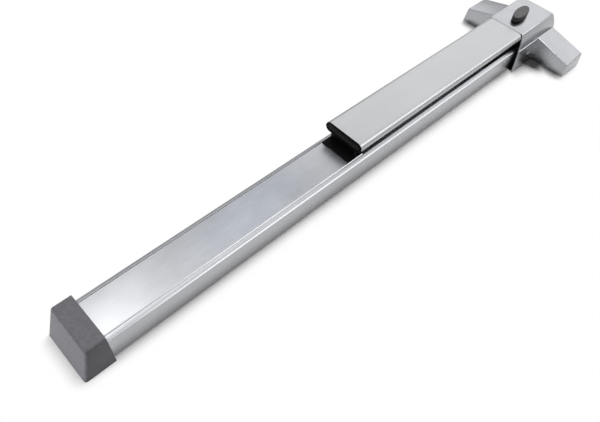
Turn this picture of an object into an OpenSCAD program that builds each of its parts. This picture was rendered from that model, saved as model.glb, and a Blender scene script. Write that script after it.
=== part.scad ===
// Push-pad panic bar for a single door, lying on its back.
// The door face is the plane z = 0. +X runs to the latch head, +Z points into the room.
// The origin is the centre of the four head fixing holes on the door face.
// All sizes are in millimetres.

/* [Bar] */
// Distance from the head fixing centre to the far end of the bar
bar_reach = 892; // [840:4:960]
// Width of the rail
rail_w = 64; // [62:1:66]
// Height of the rail at its outer corners
rail_h = 37; // [36:0.5:38]
// Wall of the rail
rail_wall = 2.5; // [2:0.25:3]
// Width of the cover plate
plate_w = 51.4; // [50:0.2:52]
// Thickness of the cover plate
plate_t = 2; // [1.5:0.25:2.5]

/* [Push pad] */
// Length of the pad extrusion
pad_l = 384; // [376:2:392]
// Width of the pad
pad_w = 64; // [60:0.5:65]
// Height of the pad section
pad_h = 15; // [14:0.5:16]
// Wall of the pad
pad_wall = 2.2; // [1.8:0.2:2.6]
// Height of the pad's top face above the door
pad_top = 69; // [68.5:0.25:70]
// Travel of the pad
pad_travel = 10; // [6:1:10]

/* [End cap] */
// Length of the end cap along its top
cap_l = 24; // [22:1:28]
// Height of the end cap
cap_h = 49; // [46:0.5:52]
// How far the top of the end cap stands out past each side of the rail
cap_proud = 1.85; // [1.5:0.05:2.5]
// Wall of the end cap
cap_wall = 3; // [2.5:0.25:3.5]

/* [Latch head] */
// Height of the head
head_h = 68.5; // [68:0.25:69]
// How much narrower than the rail the head's top face is
head_taper = 2.5; // [1:0.5:4]
// Reach of each wing from the centre line
wing_y = 104.3; // [100:0.5:110]
// Height of a wing at its tip
wing_tip_h = 22.8; // [20:0.4:26]
// Wall of the head cover
cover_wall = 2; // [1.6:0.2:2.2]
// Spacing of the head fixing holes along the bar
fix_dx = 28; // [24:1:30]
// Spacing of the head fixing holes across the bar
fix_dy = 150; // [140:2:160]
// Diameter of the fixing holes
fix_d = 5.5; // [4.5:0.5:6]

/* [Latch] */
// Width of the latch bolt
bolt_w = 28; // [24:1:28]
// Height of the latch bolt
bolt_h = 20; // [18:0.5:20]
// Projection of the latch bolt past the head
bolt_out = 14; // [12:0.5:16]

/* [Hold-back knob] */
// Length of the knob
knob_l = 47.4; // [42:0.2:50]
// Width of the knob
knob_w = 19.2; // [18.8:0.2:24]
// Height of the knob
knob_h = 8.8; // [8:0.2:12]
// Resting angle of the knob about +Z
knob_turn = 7; // [0:1:8]

/* [Hidden] */
fn_big = 72;
fn_mid = 40;
fn_small = 24;
cut = 1;                     // overshoot of a cutting body

// Clearances between pieces
run_gap = 0.3;               // sliding faces
pin_gap = 0.05;              // turning pin in its bore
slot_gap = 0.1;              // link pin in its slot
seat_gap = 0.02;             // pin seated in its own piece

// Rail and cover plate
plate_z = rail_h + 3;        // top of the cover plate
ledge_z = plate_z - plate_t; // ledge that carries the plate
ledge_t = 2.2;
ledge_y = 19;                // half width of the opening between the ledges
rail_x0 = -bar_reach + 24;
rail_x1 = -82;
rail_edge = 0.8;             // softened outer corners of the rail

// Pad
pad_x1 = -87;
pad_x0 = pad_x1 - pad_l;
pad_z0 = pad_top - pad_h;
pad_r = pad_h / 2;
pad_open = 23.2;             // half width of the slot under the pad
plug_t = 1.6;
head_plug_t = 1.4;
spigot_l = 9;                // spigots that hold the plugs in the pad
rim_t = 3.4;                 // raised rim of the end plug
band_depth = 0.9;            // recess inside that rim

// End guide on the cover plate
guide_foot_y = 24.5;
guide_foot_t = 2.2;
guide_foot_x0 = pad_x0 - 13;
guide_foot_x1 = pad_x0 + 15;
guide_web_y = pad_open - 0.9;
guide_web_x0 = pad_x0 + 0.5;
guide_web_t = 3;
guide_top = pad_z0 + 0.8;
plate_x1 = guide_foot_x1;
guide_peg_r = 2.4;
guide_peg_x = guide_foot_x1 - 6;
guide_peg_y = 15;
gusset_y = 15.5;             // inner face of the web's gussets
gusset_t = 2.5;

// Bell cranks: the pad arm lies level at half travel
crank_z = 28;                // height of the pivots
pad_arm = 16;
rod_arm = 20;
swing = asin(pad_travel / 2 / pad_arm);
rod_travel = pad_travel * rod_arm / pad_arm;
crank_a_x = pad_x0 + 71;
crank_b_x = pad_x1 - 63;
crank_t = 6;                 // thickness of a crank
hub_r = 7;
pivot_r = 3;
pad_pin_r = 2.5;
rod_pin_r = 2;
pad_pin_x = pad_arm * cos(swing);
pad_pin_z = crank_z + pad_arm * sin(swing);
rod_pin_x = rod_arm * sin(swing);
rod_pin_z = crank_z - rod_arm * cos(swing);

// Crank brackets
cheek_in = 9;                // inner faces of the bracket cheeks
cheek_t = 2;
cheek_x = 13;                // half length of a cheek
cheek_top = crank_z + 7.5;
bracket_foot_y = 21;
bracket_foot_t = 2;
bridge_l = 2.5;              // cross piece that ties the two cheeks
bridge_gap = 2;              // bridge above the rod
rivet_r = 2;
rivet_head_r = 3.4;
rivet_head_t = 1.3;
rivet_dx = 8;
rivet_y = bracket_foot_y - 5;

// Pad carriers
carrier_in = crank_t / 2 + 0.6;
carrier_t = 2.5;
carrier_plate_z = pad_top - pad_wall;
carrier_plate_t = 2.4;
carrier_plate_y = 17;
carrier_x1 = 2 * pad_arm;
carrier_cheek_l = 15;
carrier_lip = 3;             // cheek below its slot
through = 20;                // half length of a crosswise cut

// Actuator rod, an upright channel
rod_in = crank_t / 2 + 0.6;
rod_t = 2;
rod_out = rod_in + rod_t;
rod_z0 = 4;
rod_z1 = 14;
rod_web = 1.5;
saddle_l = 12;               // guides that carry the rod
saddle_y = 10;
saddle_a_x = crank_a_x - 40;
saddle_c_x = crank_b_x + carrier_x1;
rod_x0 = saddle_a_x - saddle_l / 2 - 2;
rod_x1 = -35;
ear_x0 = -45;
ear_z1 = 24;
link_x = -40;                // pin that draws the bolt
link_z = 20;
link_r = 2.4;
lug_x1 = -54;                // lug that the hold-back hook catches
lug_l = 4;
lug_z1 = 30;
lug_y = 4;

// Pad springs
coil_r = 5.5;
coil_wire = 1.4;
coil_turns = 5;
coil_off = 27;               // spring centre behind its crank
coil_z0 = plate_z;
coil_z1 = carrier_plate_z - carrier_plate_t;
spigot_r = 3.4;
seat_l = 18;

// Head
head_x0 = -85;
head_x1 = 11.3;              // end of the top face
shoulder_z = 40;             // crease of the sides and root of the wings
shoulder_x1 = 24.6;
foot_x1 = 28;
head_w = rail_w - head_taper;
head_shoulder_y = rail_w / 2 + 5.5;
head_ledge_y = head_shoulder_y + 0.8;
head_foot_y = head_shoulder_y + 4;
flank_power = 2.2;           // curve of the flanks above the ledge
wing_x0 = -24.2;
wing_foot_x0 = -27;
wing_tip_in = 2.4;           // lean of the tip face
chassis_t = 3;
chassis_gap = 4.5;           // chassis edge inside the cover's outer edge
chassis_y = head_shoulder_y - cover_wall - run_gap / 2;
tongue_x0 = -104;
tongue_x1 = -76;
tongue_y0 = 12;
tongue_y1 = 28;
tongue_z1 = 6;
end_plate_x0 = -84;
end_plate_t = 2.5;

// Latch
bolt_z0 = 10;
bolt_x0 = -14;
bolt_nose = 3;               // flat part of the bolt's nose, under its bevel
bolt_x1 = foot_x1 + bolt_out;
tail_x0 = -45;
tail_y = 3.2;
tail_z0 = 15;
tail_z1 = 25;
case_x0 = -40;
case_x1 = 22;
case_wall = 3.7;
case_in = bolt_w / 2 + run_gap;
case_out = case_in + case_wall;
case_z1 = bolt_z0 + bolt_h + 4;
case_floor_x0 = -2;
tab_t = 3;
tab_y = 7.2;
tab_z0 = 12;
latch_coil_r = 2.7;
latch_coil_wire = 0.9;
latch_coil_turns = 6;
latch_coil_y = (tab_y + case_in) / 2;

// Deadlatch plunger beside the bolt
dead_y0 = case_out + 3.2;
dead_w = 7;
dead_z0 = 12;
dead_h = 12;
dead_x0 = -2;
dead_out = 9;
dead_nose = 4;               // flat part of the plunger's nose
dead_bevel_l = 6;
dead_x1 = foot_x1 + dead_out;
dead_wall = 2.7;
dead_case_x0 = -22;
dead_coil_r = 2.4;
dead_coil_wire = 0.8;
dead_coil_turns = 5;

// Hold-back knob, spindle and hook
knob_x = -46;
spindle_r = 4;
sleeve_r = 6.6;
collar_r = 9;
collar_t = 1;
sleeve_z0 = head_h - 12.5;
hook_z0 = lug_z1 + 1;
hook_t = 3;
hook_reach = 19.5;
hook_w = 8;
hook_tip_l = 4;
hook_tip_z0 = ear_z1 + 1.5;
clip_t = 1.6;
clip_r = 6.2;
hook_hub_r = spindle_r + 1.6;
knob_z0 = head_h + collar_t + run_gap;
knob_bore = 6;               // depth of the spindle's seat in the knob
knob_edge = 1.2;             // softened top edge of the knob

// Small side screws of the cover
post_y1 = head_shoulder_y - 0.6;
side_screw_x = -48;
side_screw_z = 19.5;
side_screw_r = 2;
side_head_r = 3.2;
side_seat_y = head_shoulder_y + 1.4;
side_head_t = 1.9;
post_y0 = post_y1 - 6;

// Countersunk screws under the bracket and the rail
screw_r = 2;
screw_head_r = 3.8;
screw_head_h = 1.8;
screw_sunk = 0.2;            // head below the surface
sink_r = 4.1;
sink_h = 2;
screw_run = 0.1;             // free hole round a screw
cap_screw_bite = 10;         // thread in the cap's post
joint_x = (tongue_x0 + rail_x1) / 2;
joint_y = (tongue_y0 + tongue_y1) / 2;

// End cap and bracket
cap_x1 = -bar_reach + 38;    // joint between cap and rail
cap_foot_x0 = -bar_reach;
cap_top_x0 = cap_x1 - cap_l;
cap_w = rail_w + 2 * cap_proud;
cap_foot_w = cap_w + 7.2;
cap_edge = 6;
bracket_x0 = -bar_reach + 6;
bracket_x1 = -bar_reach + 44;
bracket_y = 27;
bracket_t = 5.2;
end_fix_x = -bar_reach + 15;
end_fix_dy = 36;
cap_post_r = 5;
cap_post_h = 19;
cap_post_out = 8;            // where the post's rib meets the end wall
cap_screw_x = end_fix_x;

function arc(cx, cy, r, a0, a1, n) =
  [for (i = [0:n]) [cx + r * cos(a0 + (a1 - a0) * i / n), cy + r * sin(a0 + (a1 - a0) * i / n)]];

// A yz outline drawn along X, and an xz outline drawn along Y
module xprism(x0, x1) {
  translate([x0, 0, 0])
    rotate([90, 0, 90])
      linear_extrude(height = x1 - x0)
        children();
}

module yprism(y0, y1) {
  translate([0, y1, 0])
    rotate([90, 0, 0])
      linear_extrude(height = y1 - y0)
        children();
}

module ycyl(x, z, r, y0, y1, fn) {
  translate([x, y1, z])
    rotate([90, 0, 0])
      cylinder(r = r, h = y1 - y0, $fn = fn);
}

module xcyl(x0, x1, y, z, r, fn) {
  translate([x0, y, z])
    rotate([0, 90, 0])
      cylinder(r = r, h = x1 - x0, $fn = fn);
}

module both_sides() {
  children();
  mirror([0, 1, 0])
    children();
}

module box(x0, x1, y0, y1, z0, z1) {
  translate([x0, y0, z0])
    cube([x1 - x0, y1 - y0, z1 - z0]);
}

// Wound springs: one unbroken tube from the first ring to the last
tube_sides = 6;
rings_per_turn = 8;

function coil_ring(r, w, turns, len, k) =
  let (n = turns * rings_per_turn, a = 360 * k / rings_per_turn, c = w / 2,
       z = c + (len - w) * k / n)
  [for (s = [0:tube_sides - 1])
    [(r + c * cos(360 * s / tube_sides)) * cos(a),
     (r + c * cos(360 * s / tube_sides)) * sin(a),
     z + c * sin(360 * s / tube_sides)]];

function coil_points(r, w, turns, len) =
  [for (k = [0:turns * rings_per_turn], p = coil_ring(r, w, turns, len, k)) p];

function coil_faces(turns) =
  let (n = turns * rings_per_turn, m = tube_sides)
  concat(
    [[for (s = [0:m - 1]) s]],
    [for (k = [0:n - 1], s = [0:m - 1])
      [k * m + s, (k + 1) * m + s, (k + 1) * m + (s + 1) % m]],
    [for (k = [0:n - 1], s = [0:m - 1])
      [k * m + s, (k + 1) * m + (s + 1) % m, k * m + (s + 1) % m]],
    [[for (s = [m - 1:-1:0]) n * m + s]]);

// Smallest distance between the tubes of neighbouring curls, from the points themselves
function coil_gap(r, w, turns, len) =
  let (p = coil_points(r, w, turns, len), step = rings_per_turn * tube_sides)
  min([for (i = [0:len(p) - step - 1], s = [0:tube_sides - 1])
    norm(p[i] - p[floor(i / tube_sides) * tube_sides + step + s])]);

module coil(r, w, turns, len) {
  polyhedron(points = coil_points(r, w, turns, len), faces = coil_faces(turns), convexity = 8);
}

// Seat of a countersunk screw that is driven from below, and such a screw up to height top
module countersink() {
  translate([0, 0, -0.01])
    cylinder(r1 = sink_r, r2 = screw_r + screw_run, h = sink_h, $fn = fn_mid);
}

module sunk_screw(top) {
  neck = screw_sunk + screw_head_h;
  translate([0, 0, screw_sunk])
    cylinder(r1 = screw_head_r, r2 = screw_r, h = screw_head_h, $fn = fn_mid);
  translate([0, 0, neck])
    cylinder(r = screw_r, h = top - neck, $fn = fn_small);
}

// Rail
module rail_half() {
  polygon([
    [-cut, 0], [rail_w / 2 - rail_edge, 0], [rail_w / 2, rail_edge],
    [rail_w / 2, rail_h - rail_edge], [rail_w / 2 - 0.6, rail_h],
    [plate_w / 2 + 0.5, plate_z - 0.3], [plate_w / 2 + 0.2, plate_z - 0.6],
    [plate_w / 2 + 0.2, ledge_z], [ledge_y, ledge_z], [ledge_y, ledge_z - ledge_t],
    [rail_w / 2 - rail_wall, ledge_z - ledge_t], [rail_w / 2 - rail_wall, rail_wall],
    [-cut, rail_wall]]);
}

module rail() {
  color("lightgray")
    difference() {
      xprism(rail_x0, rail_x1) {
        rail_half();
        mirror([1, 0])
          rail_half();
      }
      // screw holes for the joint to the latch chassis
      both_sides()
        translate([joint_x, joint_y, 0]) {
          translate([0, 0, -cut])
            cylinder(r = screw_r + screw_run, h = rail_wall + 2 * cut, $fn = fn_small);
          countersink();
        }
      // rivet holes of the crank brackets
      for (x = [crank_a_x, crank_b_x])
        both_sides()
          for (dx = [-rivet_dx, rivet_dx])
            translate([x + dx, rivet_y, -cut])
              cylinder(r = rivet_r + seat_gap, h = rail_wall + 2 * cut, $fn = fn_small);
    }
}

module cover_plate() {
  color("gainsboro")
    difference() {
      xprism(rail_x0 + 2, plate_x1)
        polygon([
          [-plate_w / 2, ledge_z], [plate_w / 2, ledge_z], [plate_w / 2, plate_z - 0.4],
          [plate_w / 2 - 0.4, plate_z], [-plate_w / 2 + 0.4, plate_z],
          [-plate_w / 2, plate_z - 0.4]]);
      both_sides()
        translate([guide_peg_x, guide_peg_y, ledge_z - cut])
          cylinder(r = guide_peg_r + seat_gap, h = plate_t + 2 * cut, $fn = fn_small);
    }
}

// End cap: a drafted shell, leaning out at its end
module cap_outline_yz(in) {
  hw = cap_w / 2 - in;
  fw = cap_foot_w / 2 - in;
  top = cap_h - in;
  r = max(cap_edge - in, 1);
  polygon(concat(
    [[-fw, in > 0 ? -cut : 0], [fw, in > 0 ? -cut : 0]],
    arc(hw - r + 0.4, top - r, r, 0, 90, 6),
    arc(-hw + r - 0.4, top - r, r, 90, 180, 6)));
}

module cap_outline_xz(in) {
  r = max(cap_edge - 1 - in, 1);
  far = cap_x1 - (in > 0 ? cap_wall : 0);
  polygon(concat(
    [[far, cap_h - in], [far, in > 0 ? -cut : 0], [cap_foot_x0 + in, in > 0 ? -cut : 0]],
    [for (i = [6:-1:0])
      [cap_top_x0 + in + r - r * sin(15 * i), cap_h - in - r + r * cos(15 * i)]]));
}

module cap_body(in) {
  intersection() {
    xprism(cap_foot_x0 - cut, cap_x1 + cut)
      cap_outline_yz(in);
    yprism(-cap_foot_w, cap_foot_w)
      cap_outline_xz(in);
  }
}

// Flat cut along a leaning corner of the cap
module cap_corner() {
  lean_x = atan((cap_foot_w - cap_w) / 2 / cap_h);
  lean_y = atan((cap_top_x0 - cap_foot_x0) / cap_h);
  translate([cap_foot_x0, cap_foot_w / 2, 0])
    rotate([lean_x, lean_y, 0])
      rotate([0, 0, 135])
        translate([-1.8, -10, -6])
          cube([20, 20, cap_h + 14]);
}

module end_cap() {
  color("dimgray")
    difference() {
      union() {
        difference() {
          cap_body(0);
          cap_body(cap_wall);
        }
        // screw post, tied to the leaning end wall by a rib
        translate([cap_screw_x, 0, bracket_t])
          cylinder(r = cap_post_r, h = cap_post_h, $fn = fn_mid);
        box(cap_foot_x0 + cap_post_out, cap_screw_x, -cap_wall, cap_wall,
            bracket_t, bracket_t + cap_post_h);
      }
      both_sides()
        cap_corner();
      // window for the rail and its cover plate
      xprism(rail_x0 - 0.5, cap_x1 + cut)
        polygon([
          [-rail_w / 2 - run_gap, -cut], [rail_w / 2 + run_gap, -cut],
          [rail_w / 2 + run_gap, rail_h + 0.2], [plate_w / 2, plate_z + run_gap],
          [-plate_w / 2, plate_z + run_gap], [-rail_w / 2 - run_gap, rail_h + 0.2]]);
      translate([cap_screw_x, 0, bracket_t - cut])
        cylinder(r = screw_r + seat_gap, h = cap_screw_bite + 2 + cut, $fn = fn_small);
    }
}

module end_bracket() {
  color("silver")
    difference() {
      union() {
        box(bracket_x0, rail_x0 - run_gap, -bracket_y, bracket_y, 0, bracket_t);
        box(rail_x0 - run_gap - 0.5, bracket_x1, -bracket_y, bracket_y,
            rail_wall, bracket_t);
      }
      for (s = [-1, 1])
        translate([end_fix_x, s * end_fix_dy / 2, -cut])
          cylinder(d = fix_d, h = bracket_t + 2 * cut, $fn = fn_mid);
      translate([cap_screw_x, 0, -cut])
        cylinder(r = screw_r + screw_run, h = bracket_t + 2 * cut, $fn = fn_small);
      translate([cap_screw_x, 0, 0])
        countersink();
    }
}

module cap_screw() {
  color("gray")
    translate([cap_screw_x, 0, 0])
      sunk_screw(bracket_t + cap_screw_bite);
}

// Push pad
module pad_section(in) {
  r = pad_r - in;
  for (s = [-1, 1])
    translate([s * (pad_w / 2 - pad_r), pad_z0 + pad_r])
      circle(r = r, $fn = fn_big);
  translate([-(pad_w / 2 - pad_r), pad_z0 + in])
    square([pad_w - 2 * pad_r, 2 * r]);
}

module push_pad() {
  color("silver")
    difference() {
      xprism(pad_x0, pad_x1)
        pad_section(0);
      xprism(pad_x0 - cut, pad_x1 + cut)
        pad_section(pad_wall);
      box(pad_x0 - cut, pad_x1 + cut, -pad_open, pad_open, pad_z0 - cut, pad_z0 + pad_wall + cut);
    }
}

module pad_end_plug() {
  color("black") {
    difference() {
      xprism(pad_x0 - plug_t, pad_x0)
        pad_section(0);
      xprism(pad_x0 - plug_t - cut, pad_x0 - plug_t + band_depth)
        pad_section(rim_t);
    }
    // two spigots that hold the plug in the pad
    intersection() {
      xprism(pad_x0 - 0.2, pad_x0 + spigot_l)
        pad_section(pad_wall + pin_gap);
      both_sides()
        box(pad_x0 - 0.2, pad_x0 + spigot_l, pad_open + 0.5, pad_w / 2, pad_z0, pad_top);
    }
  }
}

module pad_head_plug() {
  color("black") {
    xprism(pad_x1, pad_x1 + head_plug_t)
      pad_section(0.3);
    intersection() {
      xprism(pad_x1 - spigot_l, pad_x1 + 0.2)
        pad_section(pad_wall + pin_gap);
      both_sides()
        box(pad_x1 - spigot_l, pad_x1 + 0.2, pad_open + 0.5, pad_w / 2, pad_z0, pad_top);
    }
  }
}

// Fixed guide behind the end plug: a foot on the cover plate and an upright web
module end_guide() {
  color("black") {
    box(guide_foot_x0, guide_foot_x1, -guide_foot_y, guide_foot_y,
        plate_z, plate_z + guide_foot_t);
    xprism(guide_web_x0, guide_web_x0 + guide_web_t)
      polygon([
        [-guide_foot_y + 1, plate_z + guide_foot_t - 0.2],
        [guide_foot_y - 1, plate_z + guide_foot_t - 0.2],
        [guide_web_y, plate_z + guide_foot_t + 3], [guide_web_y, guide_top],
        [-guide_web_y, guide_top], [-guide_web_y, plate_z + guide_foot_t + 3]]);
    both_sides()
      yprism(gusset_y, gusset_y + gusset_t)
        polygon([
          [guide_web_x0 + guide_web_t - 0.2, plate_z + guide_foot_t - 0.2],
          [guide_foot_x1 - 1, plate_z + guide_foot_t - 0.2],
          [guide_web_x0 + guide_web_t - 0.2, guide_top - 2]]);
    both_sides()
      translate([guide_peg_x, guide_peg_y, ledge_z - 1.5])
        cylinder(r = guide_peg_r, h = plate_t + 2, $fn = fn_small);
  }
}

// Pad carrier: a top plate under the pad's face and two cheeks with level slots
module pad_carrier(cx) {
  color("slategray")
    difference() {
      union() {
        box(cx - coil_off - seat_l / 2, cx + carrier_x1, -carrier_plate_y, carrier_plate_y,
            carrier_plate_z - carrier_plate_t, carrier_plate_z);
        both_sides()
          box(cx + pad_pin_x - carrier_cheek_l / 2, cx + pad_pin_x + carrier_cheek_l / 2,
              carrier_in, carrier_in + carrier_t, pad_pin_z - pad_pin_r - carrier_lip,
              carrier_plate_z - carrier_plate_t / 2);
        translate([cx - coil_off, 0, coil_z1 - 3])
          cylinder(r = spigot_r, h = 3.5, $fn = fn_mid);
      }
      for (x = [pad_pin_x, pad_arm])
        ycyl(cx + x, pad_pin_z, pad_pin_r + slot_gap, -through, through, fn_mid);
      box(cx + pad_pin_x, cx + pad_arm, -through, through,
          pad_pin_z - pad_pin_r - slot_gap, pad_pin_z + pad_pin_r + slot_gap);
    }
}

module crank_bracket(cx) {
  color("darkgray")
    difference() {
      union() {
        both_sides() {
          box(cx - cheek_x, cx + cheek_x, cheek_in, cheek_in + cheek_t, rail_wall, cheek_top);
          box(cx - cheek_x, cx + cheek_x, cheek_in, bracket_foot_y, rail_wall,
              rail_wall + bracket_foot_t);
        }
        box(cx - cheek_x - bridge_l + 0.5, cx - cheek_x + 0.5, -cheek_in - cheek_t,
            cheek_in + cheek_t, rod_z1 + bridge_gap, cheek_top);
      }
      ycyl(cx, crank_z, pivot_r + seat_gap, -through, through, fn_mid);
      both_sides()
        for (dx = [-rivet_dx, rivet_dx])
          translate([cx + dx, rivet_y, 0])
            cylinder(r = rivet_r + seat_gap, h = rod_z1, $fn = fn_small);
    }
}

module bracket_rivets() {
  color("gray")
    for (x = [crank_a_x, crank_b_x])
      both_sides()
        for (dx = [-rivet_dx, rivet_dx])
          translate([x + dx, rivet_y, 0.2]) {
            cylinder(r = rivet_r, h = rail_wall + bracket_foot_t, $fn = fn_small);
            translate([0, 0, rail_wall + bracket_foot_t - 0.2])
              cylinder(r = rivet_head_r, h = rivet_head_t, $fn = fn_small);
          }
}

module pivot_pin(cx) {
  color("gray") {
    ycyl(cx, crank_z, pivot_r, -cheek_in - cheek_t - 2, cheek_in + cheek_t, fn_mid);
    ycyl(cx, crank_z, pivot_r + 2, cheek_in + cheek_t, cheek_in + cheek_t + 1.6, fn_mid);
    ycyl(cx, crank_z, pivot_r + 1.5, -cheek_in - cheek_t - 1.6, -cheek_in - cheek_t - 0.2, fn_mid);
  }
}

// Bell crank, drawn at rest: the pad arm points up and to +X, the rod arm down and to +X
module crank_arm(ang, len, w) {
  rotate([0, 0, ang])
    translate([0, -w / 2])
      square([len, w]);
}

module bell_crank(cx) {
  color("steelblue")
    difference() {
      union() {
        yprism(-crank_t / 2, crank_t / 2)
          translate([cx, crank_z]) {
            circle(r = hub_r, $fn = fn_mid);
            crank_arm(swing, pad_arm, 8);
            crank_arm(270 + swing, rod_arm, 7);
            translate([pad_arm * cos(swing), pad_arm * sin(swing)])
              circle(r = 5, $fn = fn_mid);
            translate([rod_arm * sin(swing), -rod_arm * cos(swing)])
              circle(r = 4.3, $fn = fn_mid);
          }
        ycyl(cx, crank_z, hub_r - 1.5, -cheek_in + 0.2, cheek_in - 0.2, fn_mid);
      }
      ycyl(cx, crank_z, pivot_r + pin_gap, -through, through, fn_mid);
      ycyl(cx + pad_pin_x, pad_pin_z, pad_pin_r + seat_gap, -through, through, fn_mid);
      ycyl(cx + rod_pin_x, rod_pin_z, rod_pin_r + seat_gap, -through, through, fn_mid);
    }
}

module crank_pins(cx) {
  color("lightsteelblue") {
    ycyl(cx + pad_pin_x, pad_pin_z, pad_pin_r, -carrier_in - carrier_t - 1.4,
         carrier_in + carrier_t + 1.4, fn_mid);
    ycyl(cx + rod_pin_x, rod_pin_z, rod_pin_r, -rod_out - 1.4, rod_out + 1.4, fn_mid);
  }
}

module actuator_rod() {
  color("silver")
    difference() {
      union() {
        both_sides()
          box(rod_x0, rod_x1, rod_in, rod_out, rod_z0, rod_z1);
        box(rod_x0, rod_x1, -rod_in - 0.5, rod_in + 0.5, rod_z0, rod_z0 + rod_web);
        both_sides()
          box(ear_x0, rod_x1, rod_in, rod_out, rod_z1 - cut, ear_z1);
        box(lug_x1 - lug_l, lug_x1, -lug_y, lug_y, rod_z1 - 4, lug_z1);
      }
      for (cx = [crank_a_x, crank_b_x]) {
        box(cx + rod_pin_x - 6, cx + rod_pin_x + 6, -rod_in - 0.01, rod_in + 0.01,
            rod_z0 - cut, rod_z0 + rod_web + cut);
        for (z = [crank_z - rod_arm, rod_pin_z])
          ycyl(cx + rod_pin_x, z, rod_pin_r + slot_gap, -through, through, fn_mid);
        box(cx + rod_pin_x - rod_pin_r - slot_gap, cx + rod_pin_x + rod_pin_r + slot_gap,
            -through, through, crank_z - rod_arm, rod_pin_z);
      }
      ycyl(link_x, link_z, link_r + seat_gap, -through, through, fn_mid);
    }
}

module link_pin() {
  color("gray")
    ycyl(link_x, link_z, link_r, -rod_out - 1, rod_out + 1, fn_mid);
}

// Saddles that carry the rod on the rail's floor
module rod_guides() {
  color("white")
    for (x = [saddle_a_x, (crank_a_x + crank_b_x) / 2, saddle_c_x]) {
      box(x - saddle_l / 2, x + saddle_l / 2, -saddle_y, saddle_y, rail_wall, rod_z0 - 0.1);
      both_sides()
        box(x - saddle_l / 2, x + saddle_l / 2, rod_out + run_gap, saddle_y, rail_wall,
            rod_z1 - 2);
    }
}

module spring_seats() {
  color("darkgray")
    for (cx = [crank_a_x, crank_b_x]) {
      box(cx - coil_off - seat_l / 2, cx - coil_off + seat_l / 2,
          -plate_w / 2, plate_w / 2, ledge_z, plate_z);
      translate([cx - coil_off, 0, plate_z - 0.2])
        cylinder(r = spigot_r, h = 4, $fn = fn_mid);
    }
}

module pad_spring(cx) {
  color("dimgray")
    translate([cx - coil_off, 0, coil_z0])
      coil(coil_r, coil_wire, coil_turns, coil_z1 - coil_z0);
}

// Latch chassis
module latch_chassis() {
  color("darkgray")
    difference() {
      union() {
        box(rail_x1 + 0.2, foot_x1 - chassis_gap, -chassis_y, chassis_y, 0, chassis_t);
        box(wing_foot_x0 + chassis_gap, foot_x1 - chassis_gap,
            -wing_y + chassis_gap + 1, wing_y - chassis_gap - 1, 0, chassis_t);
        both_sides() {
          box(tongue_x0, tongue_x1, tongue_y0, tongue_y1, rail_wall, tongue_z1);
          box(rail_x1 + 0.2, tongue_x1, tongue_y0, tongue_y1, 0, tongue_z1);
          box(side_screw_x - 5, side_screw_x + 5, post_y0, post_y1, chassis_t - 0.5,
              side_screw_z + 5);
          box(side_screw_x - 5, side_screw_x + 5, post_y0, chassis_y, 0, chassis_t);
        }
      }
      for (sx = [-1, 1], sy = [-1, 1])
        translate([sx * fix_dx / 2, sy * fix_dy / 2, -cut])
          cylinder(d = fix_d, h = chassis_t + 2 * cut, $fn = fn_mid);
      both_sides() {
        translate([joint_x, joint_y, 0])
          cylinder(r = screw_r + seat_gap, h = tongue_z1 + cut, $fn = fn_small);
        ycyl(side_screw_x, side_screw_z, side_screw_r + seat_gap, post_y0 - cut,
             post_y1 + cut, fn_small);
      }
    }
}

module joint_screws() {
  color("gray")
    both_sides()
      translate([joint_x, joint_y, 0])
        sunk_screw(tongue_z1);
}

// Head cover: a raised body over the bar and two sloping wings
module head_outline_yz(in) {
  foot = in > 0 ? -cut : 0;
  hw = head_w / 2 - in;
  top = head_h - in;
  rise = top - shoulder_z;
  pts = concat(
    [[head_foot_y - in, foot], [head_ledge_y - in, shoulder_z - 0.6 - in]],
    [for (t = [0:0.16:0.96])
      [hw + (head_shoulder_y - in - hw) * (1 - pow(t, flank_power)),
       shoulder_z - in + (rise + in) * t]],
    [[hw - 1.2, top]]);
  polygon(concat(pts, [for (i = [len(pts) - 1:-1:0]) [-pts[i][0], pts[i][1]]]));
}

module head_outline_xz(in) {
  foot = in > 0 ? -cut : 0;
  near = in > 0 ? head_x0 - cut : head_x0;
  polygon([
    [near, foot], [foot_x1 - in, foot], [shoulder_x1 - in, shoulder_z],
    [head_x1 + 1.2 - in, head_h - in - 2.6], [head_x1 - 1.4 - in, head_h - in],
    [near, head_h - in]]);
}

module head_body(in) {
  intersection() {
    xprism(head_x0 - 2 * cut, foot_x1 + cut)
      head_outline_yz(in);
    yprism(-head_foot_y - cut, head_foot_y + cut)
      head_outline_xz(in);
  }
}

module wing_body(in) {
  foot = in > 0 ? -cut : 0;
  intersection() {
    xprism(wing_foot_x0 - cut, foot_x1 + cut)
      polygon([
        [-wing_y + in, foot], [wing_y - in, foot],
        [wing_y - wing_tip_in - in, wing_tip_h - in],
        [head_shoulder_y - 1, shoulder_z - in], [-head_shoulder_y + 1, shoulder_z - in],
        [-wing_y + wing_tip_in + in, wing_tip_h - in]]);
    yprism(-wing_y - cut, wing_y + cut)
      polygon([
        [wing_foot_x0 + in, foot], [foot_x1 - in, foot],
        [shoulder_x1 - in, shoulder_z + cut], [wing_x0 + in, shoulder_z + cut]]);
  }
}

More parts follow.
